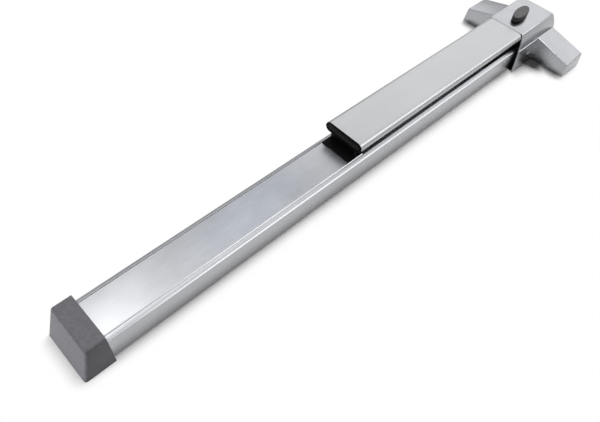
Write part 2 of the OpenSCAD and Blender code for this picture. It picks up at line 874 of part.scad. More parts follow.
module head_cover() {
  color("silver")
    difference() {
      union() {
        head_body(0);
        wing_body(0);
      }
      head_body(cover_wall);
      wing_body(cover_wall);
      // windows for the latch bolt and the plunger
      box(shoulder_x1 - cover_wall - 6, foot_x1 + cut, -bolt_w / 2 - 1, bolt_w / 2 + 1,
          bolt_z0 - 1, bolt_z0 + bolt_h + 1);
      box(shoulder_x1 - cover_wall - 6, foot_x1 + cut, dead_y0 - 1, dead_y0 + dead_w + 1,
          dead_z0 - 1, dead_z0 + dead_h + 1);
      translate([knob_x, 0, head_h - cover_wall - cut])
        cylinder(r = sleeve_r + 0.1, h = cover_wall + 2 * cut, $fn = fn_mid);
      both_sides() {
        ycyl(side_screw_x, side_screw_z, side_screw_r + 0.2, side_seat_y - 6,
             side_seat_y + 1, fn_small);
        ycyl(side_screw_x, side_screw_z, side_head_r + 0.4, side_seat_y,
             side_seat_y + 8, fn_mid);
      }
    }
}

module head_end_plate() {
  color("black")
    difference() {
      xprism(end_plate_x0, end_plate_x0 + end_plate_t)
        difference() {
          head_outline_yz(cover_wall + 0.1);
          translate([-head_foot_y, -2 * cut])
            square([2 * head_foot_y, 2 * cut]);
        }
      xprism(end_plate_x0 - cut, end_plate_x0 + end_plate_t + cut)
        polygon([
          [-rail_w / 2 - 0.2, -cut], [rail_w / 2 + 0.2, -cut],
          [rail_w / 2 + 0.2, rail_h + 0.2], [plate_w / 2, plate_z + 0.2],
          [-plate_w / 2, plate_z + 0.2], [-rail_w / 2 - 0.2, rail_h + 0.2]]);
      box(rail_x1 + 0.1, end_plate_x0 + end_plate_t + cut, -chassis_y - 0.1, chassis_y + 0.1,
          -cut, chassis_t + 0.1);
    }
}

module cover_screws() {
  color("gray")
    both_sides()
      difference() {
        union() {
          ycyl(side_screw_x, side_screw_z, side_screw_r, post_y0 + 1, side_seat_y + 0.2,
               fn_small);
          ycyl(side_screw_x, side_screw_z, side_head_r, side_seat_y + 0.05,
               side_seat_y + side_head_t, fn_mid);
        }
        box(side_screw_x - side_head_r * 0.7, side_screw_x + side_head_r * 0.7,
            side_seat_y + side_head_t - 0.8, side_seat_y + side_head_t + cut,
            side_screw_z - 0.45, side_screw_z + 0.45);
        box(side_screw_x - 0.45, side_screw_x + 0.45,
            side_seat_y + side_head_t - 0.8, side_seat_y + side_head_t + cut,
            side_screw_z - side_head_r * 0.7, side_screw_z + side_head_r * 0.7);
      }
}

// Latch case, bolt and deadlatch plunger
module latch_case() {
  dead_y1 = dead_y0 + dead_w;
  color("darkslategray")
    union() {
      both_sides() {
        box(case_x0, case_x1, case_in, case_out, chassis_t, case_z1);
        box(case_x0, case_x0 + tab_t, tab_y, case_in + 0.5, tab_z0, case_z1);
      }
      box(case_x0, case_x1, -case_out, case_out, bolt_z0 + bolt_h + run_gap, case_z1);
      box(case_floor_x0, case_x1, -case_in - 0.5, case_in + 0.5, chassis_t, bolt_z0 - run_gap);
      // sleeve of the plunger
      box(dead_case_x0, case_x1, case_out - 0.5, dead_y0 - run_gap, chassis_t,
          dead_z0 + dead_h + 3);
      box(dead_case_x0, case_x1, dead_y1 + run_gap, dead_y1 + run_gap + dead_wall,
          chassis_t, dead_z0 + dead_h + 3);
      box(dead_case_x0, case_x1, dead_y0 - run_gap - 0.5, dead_y1 + run_gap + 0.5,
          chassis_t, dead_z0 - run_gap);
      box(dead_case_x0, case_x1, dead_y0 - run_gap - 0.5, dead_y1 + run_gap + 0.5,
          dead_z0 + dead_h + run_gap, dead_z0 + dead_h + 3);
      box(dead_case_x0, dead_case_x0 + tab_t, dead_y0 - run_gap - 0.5,
          dead_y1 + run_gap + 0.5, chassis_t, dead_z0 + dead_h + 3);
    }
}

module latch_bolt() {
  z1 = bolt_z0 + bolt_h;
  color("goldenrod")
    difference() {
      union() {
        yprism(-bolt_w / 2, bolt_w / 2)
          polygon([
            [bolt_x0, bolt_z0], [bolt_x1, bolt_z0], [bolt_x1, bolt_z0 + bolt_nose],
            [bolt_x1 - bolt_out, z1], [bolt_x0, z1]]);
        box(tail_x0, bolt_x0 + 0.5, -tail_y, tail_y, tail_z0, tail_z1);
      }
      // slot that lets the bolt run back alone while the rod stays
      for (x = [link_x, link_x + rod_travel + 1])
        ycyl(x, link_z, link_r + slot_gap, -through, through, fn_mid);
      box(link_x, link_x + rod_travel + 1, -through, through, link_z - link_r - slot_gap,
          link_z + link_r + slot_gap);
    }
}

module deadlatch() {
  color("goldenrod")
    yprism(dead_y0, dead_y0 + dead_w)
      polygon([
        [dead_x0, dead_z0], [dead_x1, dead_z0], [dead_x1, dead_z0 + dead_nose],
        [dead_x1 - dead_bevel_l, dead_z0 + dead_h], [dead_x0, dead_z0 + dead_h]]);
}

module latch_springs() {
  color("dimgray")
    both_sides()
      translate([case_x0 + tab_t, latch_coil_y, link_z])
        rotate([0, 90, 0])
          coil(latch_coil_r, latch_coil_wire, latch_coil_turns, bolt_x0 - case_x0 - tab_t);
}

module deadlatch_spring() {
  color("dimgray")
    translate([dead_case_x0 + tab_t, dead_y0 + dead_w / 2, dead_z0 + dead_h / 2])
      rotate([0, 90, 0])
        coil(dead_coil_r, dead_coil_wire, dead_coil_turns, dead_x0 - dead_case_x0 - tab_t);
}

// Hold-back knob
module dog_collar() {
  color("black")
    difference() {
      translate([knob_x, 0, 0]) {
        translate([0, 0, head_h])
          cylinder(r = collar_r, h = collar_t, $fn = fn_big);
        translate([0, 0, sleeve_z0])
          cylinder(r = sleeve_r, h = head_h - sleeve_z0 + 0.5, $fn = fn_mid);
      }
      translate([knob_x, 0, sleeve_z0 - cut])
        cylinder(r = spindle_r + pin_gap, h = 40, $fn = fn_mid);
    }
}

// Oval outline, drawn in by a step
module knob_plan(in) {
  polygon([for (a = [0:7.5:352.5])
    [(knob_l / 2 - in) * cos(a), (knob_w / 2 - in) * sin(a)]]);
}

module dog_knob() {
  color("dimgray")
    difference() {
      translate([knob_x, 0, knob_z0])
        rotate([0, 0, knob_turn]) {
          linear_extrude(height = knob_h - knob_edge)
            knob_plan(0);
          linear_extrude(height = knob_h - knob_edge / 2)
            knob_plan(knob_edge / 2);
          linear_extrude(height = knob_h)
            knob_plan(knob_edge);
        }
      translate([knob_x, 0, knob_z0 - cut])
        cylinder(r = spindle_r + seat_gap, h = knob_bore + cut, $fn = fn_mid);
    }
}

module dog_spindle() {
  color("gray")
    translate([knob_x, 0, hook_z0])
      cylinder(r = spindle_r, h = knob_z0 + knob_bore - hook_z0 - 0.1, $fn = fn_mid);
}

module spindle_clip() {
  color("gray")
    difference() {
      translate([knob_x, 0, sleeve_z0 - run_gap - clip_t])
        cylinder(r = clip_r, h = clip_t, $fn = fn_mid);
      translate([knob_x, 0, 0])
        cylinder(r = spindle_r + seat_gap, h = head_h, $fn = fn_mid);
    }
}

// Hook arm: it points to -Y at rest and swings under the lug's path at a quarter turn
module dog_hook() {
  color("gray")
    difference() {
      union() {
        translate([knob_x, 0, hook_z0])
          cylinder(r = hook_hub_r, h = hook_t, $fn = fn_mid);
        box(knob_x - hook_w / 2, knob_x + hook_w / 2, -hook_reach, -spindle_r,
            hook_z0, hook_z0 + hook_t);
        box(knob_x - hook_w / 2, knob_x + hook_w / 2, -hook_reach, -hook_reach + hook_tip_l,
            hook_tip_z0, hook_z0 + 0.5);
      }
      translate([knob_x, 0, 0])
        cylinder(r = spindle_r + seat_gap, h = head_h, $fn = fn_mid);
    }
}

echo(pad_spring_gap = coil_gap(coil_r, coil_wire, coil_turns, coil_z1 - coil_z0));
echo(latch_spring_gap = coil_gap(latch_coil_r, latch_coil_wire, latch_coil_turns,
                                 bolt_x0 - case_x0 - tab_t));
echo(deadlatch_spring_gap = coil_gap(dead_coil_r, dead_coil_wire, dead_coil_turns,
                                     dead_x0 - dead_case_x0 - tab_t));

rail();
cover_plate();
end_cap();
end_bracket();
cap_screw();
end_guide();
crank_bracket(crank_a_x);  // crank_bracket_a
crank_bracket(crank_b_x);  // crank_bracket_b
bracket_rivets();
pivot_pin(crank_a_x);  // pivot_pin_a
pivot_pin(crank_b_x);  // pivot_pin_b
rod_guides();
spring_seats();
pad_spring(crank_a_x);  // pad_spring_a
pad_spring(crank_b_x);  // pad_spring_b
latch_chassis();
joint_screws();
head_cover();
head_end_plate();
cover_screws();
latch_case();
latch_springs();
deadlatch_spring();
dog_collar();
push_pad();
pad_end_plug();
pad_head_plug();
pad_carrier(crank_a_x);  // pad_carrier_a
pad_carrier(crank_b_x);  // pad_carrier_b
bell_crank(crank_a_x);  // bell_crank_a
crank_pins(crank_a_x);  // crank_pins_a
bell_crank(crank_b_x);  // bell_crank_b
crank_pins(crank_b_x);  // crank_pins_b
actuator_rod();
link_pin();
latch_bolt();
deadlatch();
dog_knob();
dog_spindle();
spindle_clip();
dog_hook();
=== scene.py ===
"""Panic bar lying on its back: the visible pieces, their finishes, the light and the camera.

Lengths are in millimetres unless a line says otherwise, and mm() turns them to metres.
"""
import math

import bmesh
import bpy
from mathutils import Matrix, Vector


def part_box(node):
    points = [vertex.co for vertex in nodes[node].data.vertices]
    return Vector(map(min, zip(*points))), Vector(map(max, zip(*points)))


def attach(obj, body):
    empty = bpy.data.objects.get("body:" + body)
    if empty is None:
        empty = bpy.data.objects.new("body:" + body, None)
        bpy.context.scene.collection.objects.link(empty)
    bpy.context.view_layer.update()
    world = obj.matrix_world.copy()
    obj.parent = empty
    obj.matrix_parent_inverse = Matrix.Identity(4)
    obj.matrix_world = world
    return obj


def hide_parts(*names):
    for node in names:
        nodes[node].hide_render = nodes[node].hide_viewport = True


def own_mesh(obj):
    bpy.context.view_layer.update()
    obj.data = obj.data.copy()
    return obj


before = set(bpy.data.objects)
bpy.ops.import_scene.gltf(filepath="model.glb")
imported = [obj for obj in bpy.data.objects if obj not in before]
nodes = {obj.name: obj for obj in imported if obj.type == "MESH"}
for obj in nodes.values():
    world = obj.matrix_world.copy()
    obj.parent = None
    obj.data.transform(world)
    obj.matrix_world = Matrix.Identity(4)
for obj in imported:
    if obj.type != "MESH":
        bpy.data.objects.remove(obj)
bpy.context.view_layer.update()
FIRST, SECOND, MIXED = 6, 7, 2     # a Mix node's two colour inputs and its colour output


def mm(*values):
    """Millimetres to a vector in metres."""
    return Vector([v / 1000.0 for v in values])


def corners_of(node):
    """The lowest and highest corner of a CAD node, in millimetres."""
    low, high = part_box(node)
    return low * 1000.0, high * 1000.0


def linear(hex_colour):
    """An sRGB hex colour as linear RGBA."""
    parts = [int(hex_colour[i:i + 2], 16) / 255.0 for i in (1, 3, 5)]
    return tuple(c / 12.92 if c <= 0.04045 else ((c + 0.055) / 1.055) ** 2.4
                 for c in parts) + (1.0,)


def add(tree, kind, links=None, **settings):
    """Adds a node to a tree: settings are its fields, links gives inputs a socket or a value."""
    node = tree.nodes.new(kind)
    for key, value in settings.items():
        setattr(node, key, value)
    for key, value in (links or {}).items():
        socket = node.inputs[key]
        if isinstance(value, bpy.types.NodeSocket):
            tree.links.new(value, socket)
        else:
            socket.default_value = value
    return node


# Finishes of the pieces

def start_material(name, colour, metallic, roughness, **sockets):
    """A Principled surface with its plain values on the shader's own sockets."""
    material = bpy.data.materials.new(name)
    material.use_nodes = True
    tree = material.node_tree
    shader = tree.nodes["Principled BSDF"]
    shader.inputs["Base Color"].default_value = linear(colour)
    shader.inputs["Metallic"].default_value = metallic
    shader.inputs["Roughness"].default_value = roughness
    for key, value in sockets.items():
        shader.inputs[key.replace("_", " ")].default_value = value
    return material, tree, shader


def metal_finish(name, light, dark, roughness, grain_mm, depth_mm, cloud_mm=60.0,
                 rough_spread=0.06, speck_mm=0.0):
    """Metal with drawn or brushed grain: grain_mm is the grain's length along X, Y and Z.

    light and dark are the two ends of its cloudy colour, and speck_mm adds a fine even grit.
    """
    material, tree, shader = start_material(name, light, 1.0, roughness)
    place = add(tree, "ShaderNodeTexCoord")
    stretch = add(tree, "ShaderNodeMapping",
                  {"Vector": place.outputs["Object"], "Scale": tuple(1000.0 / g for g in grain_mm)})
    grain = add(tree, "ShaderNodeTexNoise",
                {"Vector": stretch.outputs["Vector"], "Scale": 1.0, "Detail": 4.0,
                 "Roughness": 0.6})
    cloud = add(tree, "ShaderNodeTexNoise",
                {"Vector": place.outputs["Object"], "Scale": 1000.0 / cloud_mm, "Detail": 2.0})
    both = add(tree, "ShaderNodeMix",
               {"Factor": 0.35, "A": cloud.outputs["Fac"], "B": grain.outputs["Fac"]},
               data_type="FLOAT")
    shade = add(tree, "ShaderNodeMapRange",
                {"Value": both.outputs["Result"], "From Min": 0.3, "From Max": 0.7})
    colour = add(tree, "ShaderNodeMix",
                 {"Factor": shade.outputs["Result"], FIRST: linear(dark), SECOND: linear(light)},
                 data_type="RGBA")
    tree.links.new(colour.outputs[MIXED], shader.inputs["Base Color"])
    rough = add(tree, "ShaderNodeMapRange",
                {"Value": grain.outputs["Fac"], "From Min": 0.3, "From Max": 0.7,
                 "To Min": roughness - rough_spread, "To Max": roughness + rough_spread})
    tree.links.new(rough.outputs["Result"], shader.inputs["Roughness"])
    height = grain.outputs["Fac"]
    if speck_mm:
        grit = add(tree, "ShaderNodeTexNoise",
                   {"Vector": place.outputs["Object"], "Scale": 1000.0 / speck_mm, "Detail": 3.0})
        mixed = add(tree, "ShaderNodeMix", {"Factor": 0.5, "A": height, "B": grit.outputs["Fac"]},
                    data_type="FLOAT")
        height = mixed.outputs["Result"]
    bump = add(tree, "ShaderNodeBump",
               {"Height": height, "Strength": 1.0, "Distance": depth_mm / 1000.0})
    tree.links.new(bump.outputs["Normal"], shader.inputs["Normal"])
    return material


def moulded_finish(name, colour, worn, roughness, grit_mm, depth_mm, cloud_mm=35.0, **sockets):
    """Moulded plastic: an even spark-eroded grit, faintly cloudy from the flow of the melt."""
    material, tree, shader = start_material(name, colour, 0.0, roughness, **sockets)
    place = add(tree, "ShaderNodeTexCoord")
    grit = add(tree, "ShaderNodeTexVoronoi",
               {"Vector": place.outputs["Object"], "Scale": 1000.0 / grit_mm}, feature="SMOOTH_F1")
    fine = add(tree, "ShaderNodeTexNoise",
               {"Vector": place.outputs["Object"], "Scale": 1600.0 / grit_mm, "Detail": 3.0})
    cloud = add(tree, "ShaderNodeTexNoise",
                {"Vector": place.outputs["Object"], "Scale": 1000.0 / cloud_mm, "Detail": 3.0})
    shade = add(tree, "ShaderNodeMapRange",
                {"Value": cloud.outputs["Fac"], "From Min": 0.35, "From Max": 0.7})
    tint = add(tree, "ShaderNodeMix",
               {"Factor": shade.outputs["Result"], FIRST: linear(colour), SECOND: linear(worn)},
               data_type="RGBA")
    tree.links.new(tint.outputs[MIXED], shader.inputs["Base Color"])
    rough = add(tree, "ShaderNodeMapRange",
                {"Value": fine.outputs["Fac"], "From Min": 0.3, "From Max": 0.7,
                 "To Min": roughness - 0.06, "To Max": roughness + 0.08})
    tree.links.new(rough.outputs["Result"], shader.inputs["Roughness"])
    relief = add(tree, "ShaderNodeMath", {0: grit.outputs["Distance"], 1: fine.outputs["Fac"]},
                 operation="ADD")
    bump = add(tree, "ShaderNodeBump",
               {"Height": relief.outputs["Value"], "Strength": 1.0, "Distance": depth_mm / 1000.0})
    tree.links.new(bump.outputs["Normal"], shader.inputs["Normal"])
    return material


# Real grain and grit are 0.1 to 0.3 mm across, too fine to show at the photograph's size, so
# they are drawn about 1 mm across here.
#
# Aluminium, extruded and clear anodised: die lines run along the bar as a soft satin streak.
RAIL_ALUMINIUM = metal_finish("anodised_extruded_aluminium", "#B2B3B6", "#AAABAE", 0.30,
                              (160.0, 1.4, 1.4), 0.0015)
# The cover strip is the same alloy brushed with a short grain: broken streaks, faintly cloudy.
PLATE_ALUMINIUM = metal_finish("brushed_anodised_aluminium_strip", "#AEAFB1", "#9A9B9E", 0.31,
                               (22.0, 1.3, 1.3), 0.0012, cloud_mm=70.0, speck_mm=0.9,
                               rough_spread=0.03)
# Hand contact surface: fine brushed, then bead blasted, which leaves a silky even sheen.
PAD_ALUMINIUM = metal_finish("satin_anodised_aluminium_pad", "#ACADAE", "#A9AAAB", 0.32,
                             (120.0, 1.2, 1.2), 0.0008, speck_mm=0.8)
# Silver lacquer with fine aluminium flake over a casting: it mirrors the room as a soft sheen.
SILVER_PAINT = metal_finish("silver_flake_lacquer_on_casting", "#A9AAAD", "#A1A2A5", 0.26,
                            (1.2, 1.2, 1.2), 0.003, cloud_mm=30.0, speck_mm=0.7,
                            rough_spread=0.05)
# Grey ABS with a spark-eroded texture: matt, with a weak broad highlight.
CAP_ABS = moulded_finish("grey_moulded_abs", "#5F5F63", "#69696E", 0.55, 1.1, 0.15, cloud_mm=4.0,
                         Specular_IOR_Level=0.35)
# Black glass-filled nylon with a matt grain: nearly black, with a faint sheen on its rims.
BLACK_NYLON = moulded_finish("black_moulded_nylon", "#040405", "#070708", 0.45, 0.8, 0.02,
                             Specular_IOR_Level=0.06)
# The grained band inside the plug's rim scatters more light, so it reads a shade lighter.
GRAINED_NYLON = moulded_finish("black_grained_nylon", "#131314", "#1C1C1D", 0.5, 1.1, 0.12,
                               Specular_IOR_Level=0.25)
# Knob of charcoal acetal, smoother than the cap because hands turn it.
KNOB_ACETAL = moulded_finish("charcoal_moulded_acetal", "#555556", "#5E5E5D", 0.42, 0.9, 0.05,
                             cloud_mm=4.0, Specular_IOR_Level=0.08)
# Natural acetal of the rod guides: milky white and waxy.
WHITE_ACETAL = moulded_finish("natural_moulded_acetal", "#D9D8D0", "#E4E3DC", 0.38, 0.9, 0.01)
# Pressed steel with bright zinc plating: a bluish, slightly cloudy silver.
ZINC_STEEL = metal_finish("zinc_plated_pressed_steel", "#BCC0C6", "#9DA1A8", 0.34,
                          (30.0, 1.4, 1.4), 0.008, cloud_mm=9.0)
# Die-cast zinc, tumbled: grey, dull and slightly pitted.
CAST_ZINC = metal_finish("tumbled_die_cast_zinc", "#8F9092", "#7A7B7E", 0.50, (2.0, 2.0, 2.0),
                         0.03, cloud_mm=12.0, speck_mm=0.6)
# Blanked and tumbled steel of the levers: a dull, even grey with softened edges.
LEVER_STEEL = metal_finish("tumbled_blanked_steel", "#9DA0A5", "#868A90", 0.38, (1.6, 1.6, 6.0),
                           0.01, cloud_mm=7.0)
# Turned steel pins and screws: fine rings from the tool.
TURNED_STEEL = metal_finish("turned_steel", "#B5B6B8", "#9B9C9F", 0.28, (0.5, 3.0, 3.0), 0.006,
                            cloud_mm=6.0)
# Drawn spring wire, oiled and dark.
SPRING_WIRE = metal_finish("drawn_spring_wire", "#6E6F72", "#57585B", 0.34, (1.0, 1.0, 1.0), 0.006,
                           cloud_mm=5.0)
# Sintered steel of the bolt, ground on its working faces: a warm silver with fine scratches.
BOLT_STEEL = metal_finish("ground_sintered_steel", "#B9B8B4", "#A3A29F", 0.30, (1.0, 14.0, 14.0),
                          0.008, cloud_mm=14.0)

# Working parts inside the bar, which keep their CAD shape
NODE_FINISH = {
    "end_bracket": ZINC_STEEL, "cap_screw": TURNED_STEEL, "crank_bracket_a": ZINC_STEEL,
    "crank_bracket_b": ZINC_STEEL, "bracket_rivets": TURNED_STEEL, "pivot_pin_a": TURNED_STEEL,
    "pivot_pin_b": TURNED_STEEL, "rod_guides": WHITE_ACETAL, "spring_seats": ZINC_STEEL,
    "latch_chassis": ZINC_STEEL, "joint_screws": TURNED_STEEL, "head_end_plate": BLACK_NYLON,
    "latch_case": CAST_ZINC, "pad_head_plug": BLACK_NYLON, "pad_carrier_a": ZINC_STEEL,
    "pad_carrier_b": ZINC_STEEL, "bell_crank_a": LEVER_STEEL, "bell_crank_b": LEVER_STEEL,
    "crank_pins_a": TURNED_STEEL, "crank_pins_b": TURNED_STEEL, "actuator_rod": ZINC_STEEL,
    "link_pin": TURNED_STEEL, "dog_spindle": TURNED_STEEL, "spindle_clip": SPRING_WIRE,
    "dog_hook": LEVER_STEEL,
}
for node_name, coat in NODE_FINISH.items():
    mesh = nodes[node_name].data
    mesh.materials.clear()
    mesh.materials.append(coat)


# Shaping tools

def new_object(name, mesh, *materials):
    """A mesh as an object at the origin, with its materials."""
    piece = bpy.data.objects.new(name, mesh)
    bpy.context.scene.collection.objects.link(piece)
    mesh.materials.clear()
    for material in materials:
        mesh.materials.append(material)
    return piece


def as_object(name, shape, *materials):
    """A finished bmesh as an object at the origin, with its faces turned outwards."""
    bmesh.ops.remove_doubles(shape, verts=shape.verts, dist=1e-6)
    bmesh.ops.recalc_face_normals(shape, faces=shape.faces)
    mesh = bpy.data.meshes.new(name)
    shape.to_mesh(mesh)
    shape.free()
    return new_object(name, mesh, *materials)


def soften(piece, angle=32.0):
    """Smooth shading, with edges sharper than angle kept crisp."""
    piece.data.shade_smooth()
    piece.data.set_sharp_from_angle(angle=math.radians(angle))


def bake(piece):
    """Turns the piece's modifiers into plain mesh."""
    graph = bpy.context.evaluated_depsgraph_get()
    mesh = bpy.data.meshes.new_from_object(piece.evaluated_get(graph))
    piece.modifiers.clear()
    piece.data = mesh


def bevel_edges(piece, width, segments, angle=40.0):
    """Rounds the edges that turn by more than angle."""
    rounding = piece.modifiers.new("rounding", "BEVEL")
    rounding.width = width / 1000.0
    rounding.segments = segments
    rounding.limit_method = "ANGLE"
    rounding.angle_limit = math.radians(angle)
    rounding.use_clamp_overlap = True
    rounding.miter_outer = "MITER_ARC"
    bake(piece)


def combine(piece, other, operation):
    """Boolean of two objects; the second one is used up."""
    change = piece.modifiers.new("change", "BOOLEAN")
    change.operation = operation
    change.solver = "EXACT"
    change.object = other
    bake(piece)
    bpy.data.objects.remove(other)


def finish(piece, body, slot, *replaced):
    """Sets a piece on its body and hides the CAD nodes it stands for; slot is not used."""
    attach(piece, body)
    if replaced:
        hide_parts(*replaced)


def arc(centre_y, centre_z, radius, start, stop, count):
    """Points of an arc in a section, in degrees, both ends included."""
    turns = [math.radians(start + (stop - start) * i / count) for i in range(count + 1)]
    return [(centre_y + radius * math.cos(a), centre_z + radius * math.sin(a)) for a in turns]


def rounded(corners, count=4):
    """A closed section from (y, z, radius) corners, each replaced by an arc."""
    points = []
    for i, (y, z, radius) in enumerate(corners):
        here = Vector((y, z))
        if not radius:
            points.append((y, z))
            continue
        before = (Vector(corners[i - 1][:2]) - here).normalized()
        after = (Vector(corners[(i + 1) % len(corners)][:2]) - here).normalized()
        half = before.angle(after) / 2
        reach = radius / math.tan(half)
        centre = here + (before + after).normalized() * radius / math.sin(half)
        first, last = here + before * reach, here + after * reach
        a0 = math.atan2(first.y - centre.y, first.x - centre.x)
        a1 = math.atan2(last.y - centre.y, last.x - centre.x)
        turn = (a1 - a0 + math.pi) % (2 * math.pi) - math.pi
        points += [(centre.x + radius * math.cos(a0 + turn * k / count),
                    centre.y + radius * math.sin(a0 + turn * k / count))
                   for k in range(count + 1)]
    return points


def mirrored(half):
    """Corners for y > 0, closed by their mirror image."""
    return half + [(-c[0],) + tuple(c[1:]) for c in reversed(half)]


def new_tree(name, made, **inputs):
    """A Geometry Nodes tree with its named inputs, its one output and its group input node."""
    tree = bpy.data.node_groups.new(name, "GeometryNodeTree")
    for label, kind in inputs.items():
        tree.interface.new_socket(label, in_out="INPUT", socket_type="NodeSocket" + kind)
    tree.interface.new_socket(made, in_out="OUTPUT", socket_type="NodeSocketGeometry")
    return tree, add(tree, "NodeGroupInput").outputs


def end_tree(tree, given, made, geometry):
    """Ends a tree: instances are made real, and the finish is set on all of it."""
    plain = add(tree, "GeometryNodeRealizeInstances", {"Geometry": geometry})
    coated = add(tree, "GeometryNodeSetMaterial",
                 {"Geometry": plain.outputs["Geometry"], "Material": given["Finish"]})
    add(tree, "NodeGroupOutput", {made: coated.outputs["Geometry"]})
    return tree


def section_tree():
    """Geometry Nodes: a flat section is drawn out along X, as an extrusion press does."""
    tree, given = new_tree("drawn_section", "Bar", Section="Geometry", Length="Float",
                           Finish="Material")
    way = add(tree, "ShaderNodeCombineXYZ", {"X": given["Length"]})
    drawn = add(tree, "GeometryNodeExtrudeMesh",
                {"Mesh": given["Section"], "Offset": way.outputs["Vector"],
                 "Offset Scale": 1.0, "Individual": False})
    start = add(tree, "GeometryNodeFlipFaces", {"Mesh": given["Section"]})
    joined = add(tree, "GeometryNodeJoinGeometry")
    tree.links.new(drawn.outputs["Mesh"], joined.inputs["Geometry"])
    tree.links.new(start.outputs["Mesh"], joined.inputs["Geometry"])
    merged = add(tree, "GeometryNodeMergeByDistance",
                 {"Geometry": joined.outputs["Geometry"], "Distance": 1e-6})
    return end_tree(tree, given, "Bar", merged.outputs["Geometry"])


def coil_tree():
    """Geometry Nodes: round wire swept along a helix of some radius, length and turns."""
    tree, given = new_tree("wound_spring", "Spring", Geometry="Geometry", Radius="Float",
                           Wire="Float", Turns="Float", Length="Float", Finish="Material")
    helix = add(tree, "GeometryNodeCurveSpiral",
                {"Resolution": 32, "Rotations": given["Turns"], "Start Radius": given["Radius"],
                 "End Radius": given["Radius"], "Height": given["Length"]})
    wire = add(tree, "GeometryNodeCurvePrimitiveCircle",
               {"Resolution": 12, "Radius": given["Wire"]}, mode="RADIUS")
    tube = add(tree, "GeometryNodeCurveToMesh",
               {"Curve": helix.outputs["Curve"], "Profile Curve": wire.outputs["Curve"],
                "Fill Caps": True})
    return end_tree(tree, given, "Spring", tube.outputs["Mesh"])


def repeat_tree():
    """Geometry Nodes: one small part is set on every point of the carrying mesh."""
    tree, given = new_tree("set_on_points", "Set", Points="Geometry", Part="Object",
                           Finish="Material")
    part = add(tree, "GeometryNodeObjectInfo", {"Object": given["Part"], "As Instance": True})
    turn = add(tree, "GeometryNodeInputNamedAttribute", {"Name": "turn"}, data_type="FLOAT_VECTOR")
    spin = add(tree, "FunctionNodeEulerToRotation", {"Euler": turn.outputs["Attribute"]})
    placed = add(tree, "GeometryNodeInstanceOnPoints",
                 {"Points": given["Points"], "Instance": part.outputs["Geometry"],
                  "Rotation": spin.outputs["Rotation"]})
    return end_tree(tree, given, "Set", placed.outputs["Instances"])


SECTION, COIL, REPEAT = section_tree(), coil_tree(), repeat_tree()


def grow(piece, tree, **values):
    """Runs a Geometry Nodes tree on a piece, with its inputs set by identifier, and bakes it."""
    modifier = piece.modifiers.new(tree.name, "NODES")
    modifier.node_group = tree
    identifiers = {item.name: item.identifier for item in tree.interface.items_tree
                   if item.in_out == "INPUT"}
    for name, value in values.items():
        modifier[identifiers[name]] = value
    bake(piece)
    return piece


def drawn_bar(name, points, x0, x1, material):
    """A section of (y, z) points drawn from x0 to x1."""
    shape = bmesh.new()
    flat = shape.faces.new([shape.verts.new(mm(x0, y, z)) for y, z in points])
    flat.normal_update()
    if flat.normal.x < 0:
        flat.normal_flip()
    mesh = bpy.data.meshes.new(name)
    shape.to_mesh(mesh)
    shape.free()
    piece = new_object(name, mesh, material)
    return grow(piece, SECTION, Length=(x1 - x0) / 1000.0, Finish=material)


def slice_off(shape, point, normal):
    """Cuts away what lies beyond a plane and closes the cut."""
    everything = shape.verts[:] + shape.edges[:] + shape.faces[:]
    cut = bmesh.ops.bisect_plane(shape, geom=everything, plane_co=mm(*point), plane_no=normal,
                                 clear_outer=True, dist=1e-7)
    rim = [e for e in cut["geom_cut"] if isinstance(e, bmesh.types.BMEdge)]
    bmesh.ops.contextual_create(shape, geom=rim)


def drafted(axis, side, low, high):
    """The plane of a leaning wall on one side: low and high are its (distance out, height)."""
    (out0, z0), (out1, z1) = low, high
    point, normal = [0.0, 0.0, z0], [0.0, 0.0, out0 - out1]
    point[axis] = side * out0
    normal[axis] = side * (z1 - z0)
    return Vector(point), Vector(normal).normalized()


LARGE = 3.0          # metres, a block that holds the whole bar
BELOW_DOOR = 3.0     # how far a hollow runs on through the open back


def convex(planes, wall=0.0):
    """The solid inside some planes, or with a wall the hollow left inside, open at the bottom."""
    shape = bmesh.new()
    bmesh.ops.create_cube(shape, size=LARGE)
    slice_off(shape, (0, 0, -BELOW_DOOR if wall else 0.0), Vector((0, 0, -1)))
    for point, normal in planes:
        slice_off(shape, point - normal * wall, normal)
    bmesh.ops.recalc_face_normals(shape, faces=shape.faces)
    return shape


def round_off(shape, chosen, width, segments):
    """Rounds the edges of a bmesh for which chosen(edge) holds."""
    edges = [e for e in shape.edges if len(e.link_faces) == 2 and chosen(e)]
    bmesh.ops.bevel(shape, geom=edges, offset=width / 1000.0, offset_type="OFFSET",
                    segments=segments, profile=0.5, affect="EDGES", clamp_overlap=True)


def lies_on(edge, axis, value):
    """Whether both ends of an edge lie at one coordinate."""
    return all(abs(v.co[axis] - value / 1000.0) < 1e-5 for v in edge.verts)


def loft(rings, name, material):
    """A skin over rings of equal length, with its two ends closed."""
    shape = bmesh.new()
    rows = [[shape.verts.new(p) for p in ring] for ring in rings]
    for lower, upper in zip(rows, rows[1:]):
        count = len(lower)
        for i in range(count):
            shape.faces.new((lower[i], lower[(i + 1) % count], upper[(i + 1) % count], upper[i]))
    shape.faces.new(rows[0])
    shape.faces.new(rows[-1])
    return as_object(name, shape, material)


def copy_of(node, name, material, width, segments):
    """A CAD node's shape with its edges rounded off."""
    shape = bmesh.new()
    shape.from_mesh(nodes[node].data)
    bmesh.ops.remove_doubles(shape, verts=shape.verts, dist=1e-6)
    bmesh.ops.dissolve_limit(shape, angle_limit=math.radians(1.0), verts=shape.verts,
                             edges=shape.edges)
    piece = as_object(name, shape, material)
    bevel_edges(piece, width, segments)
    soften(piece)
    return piece


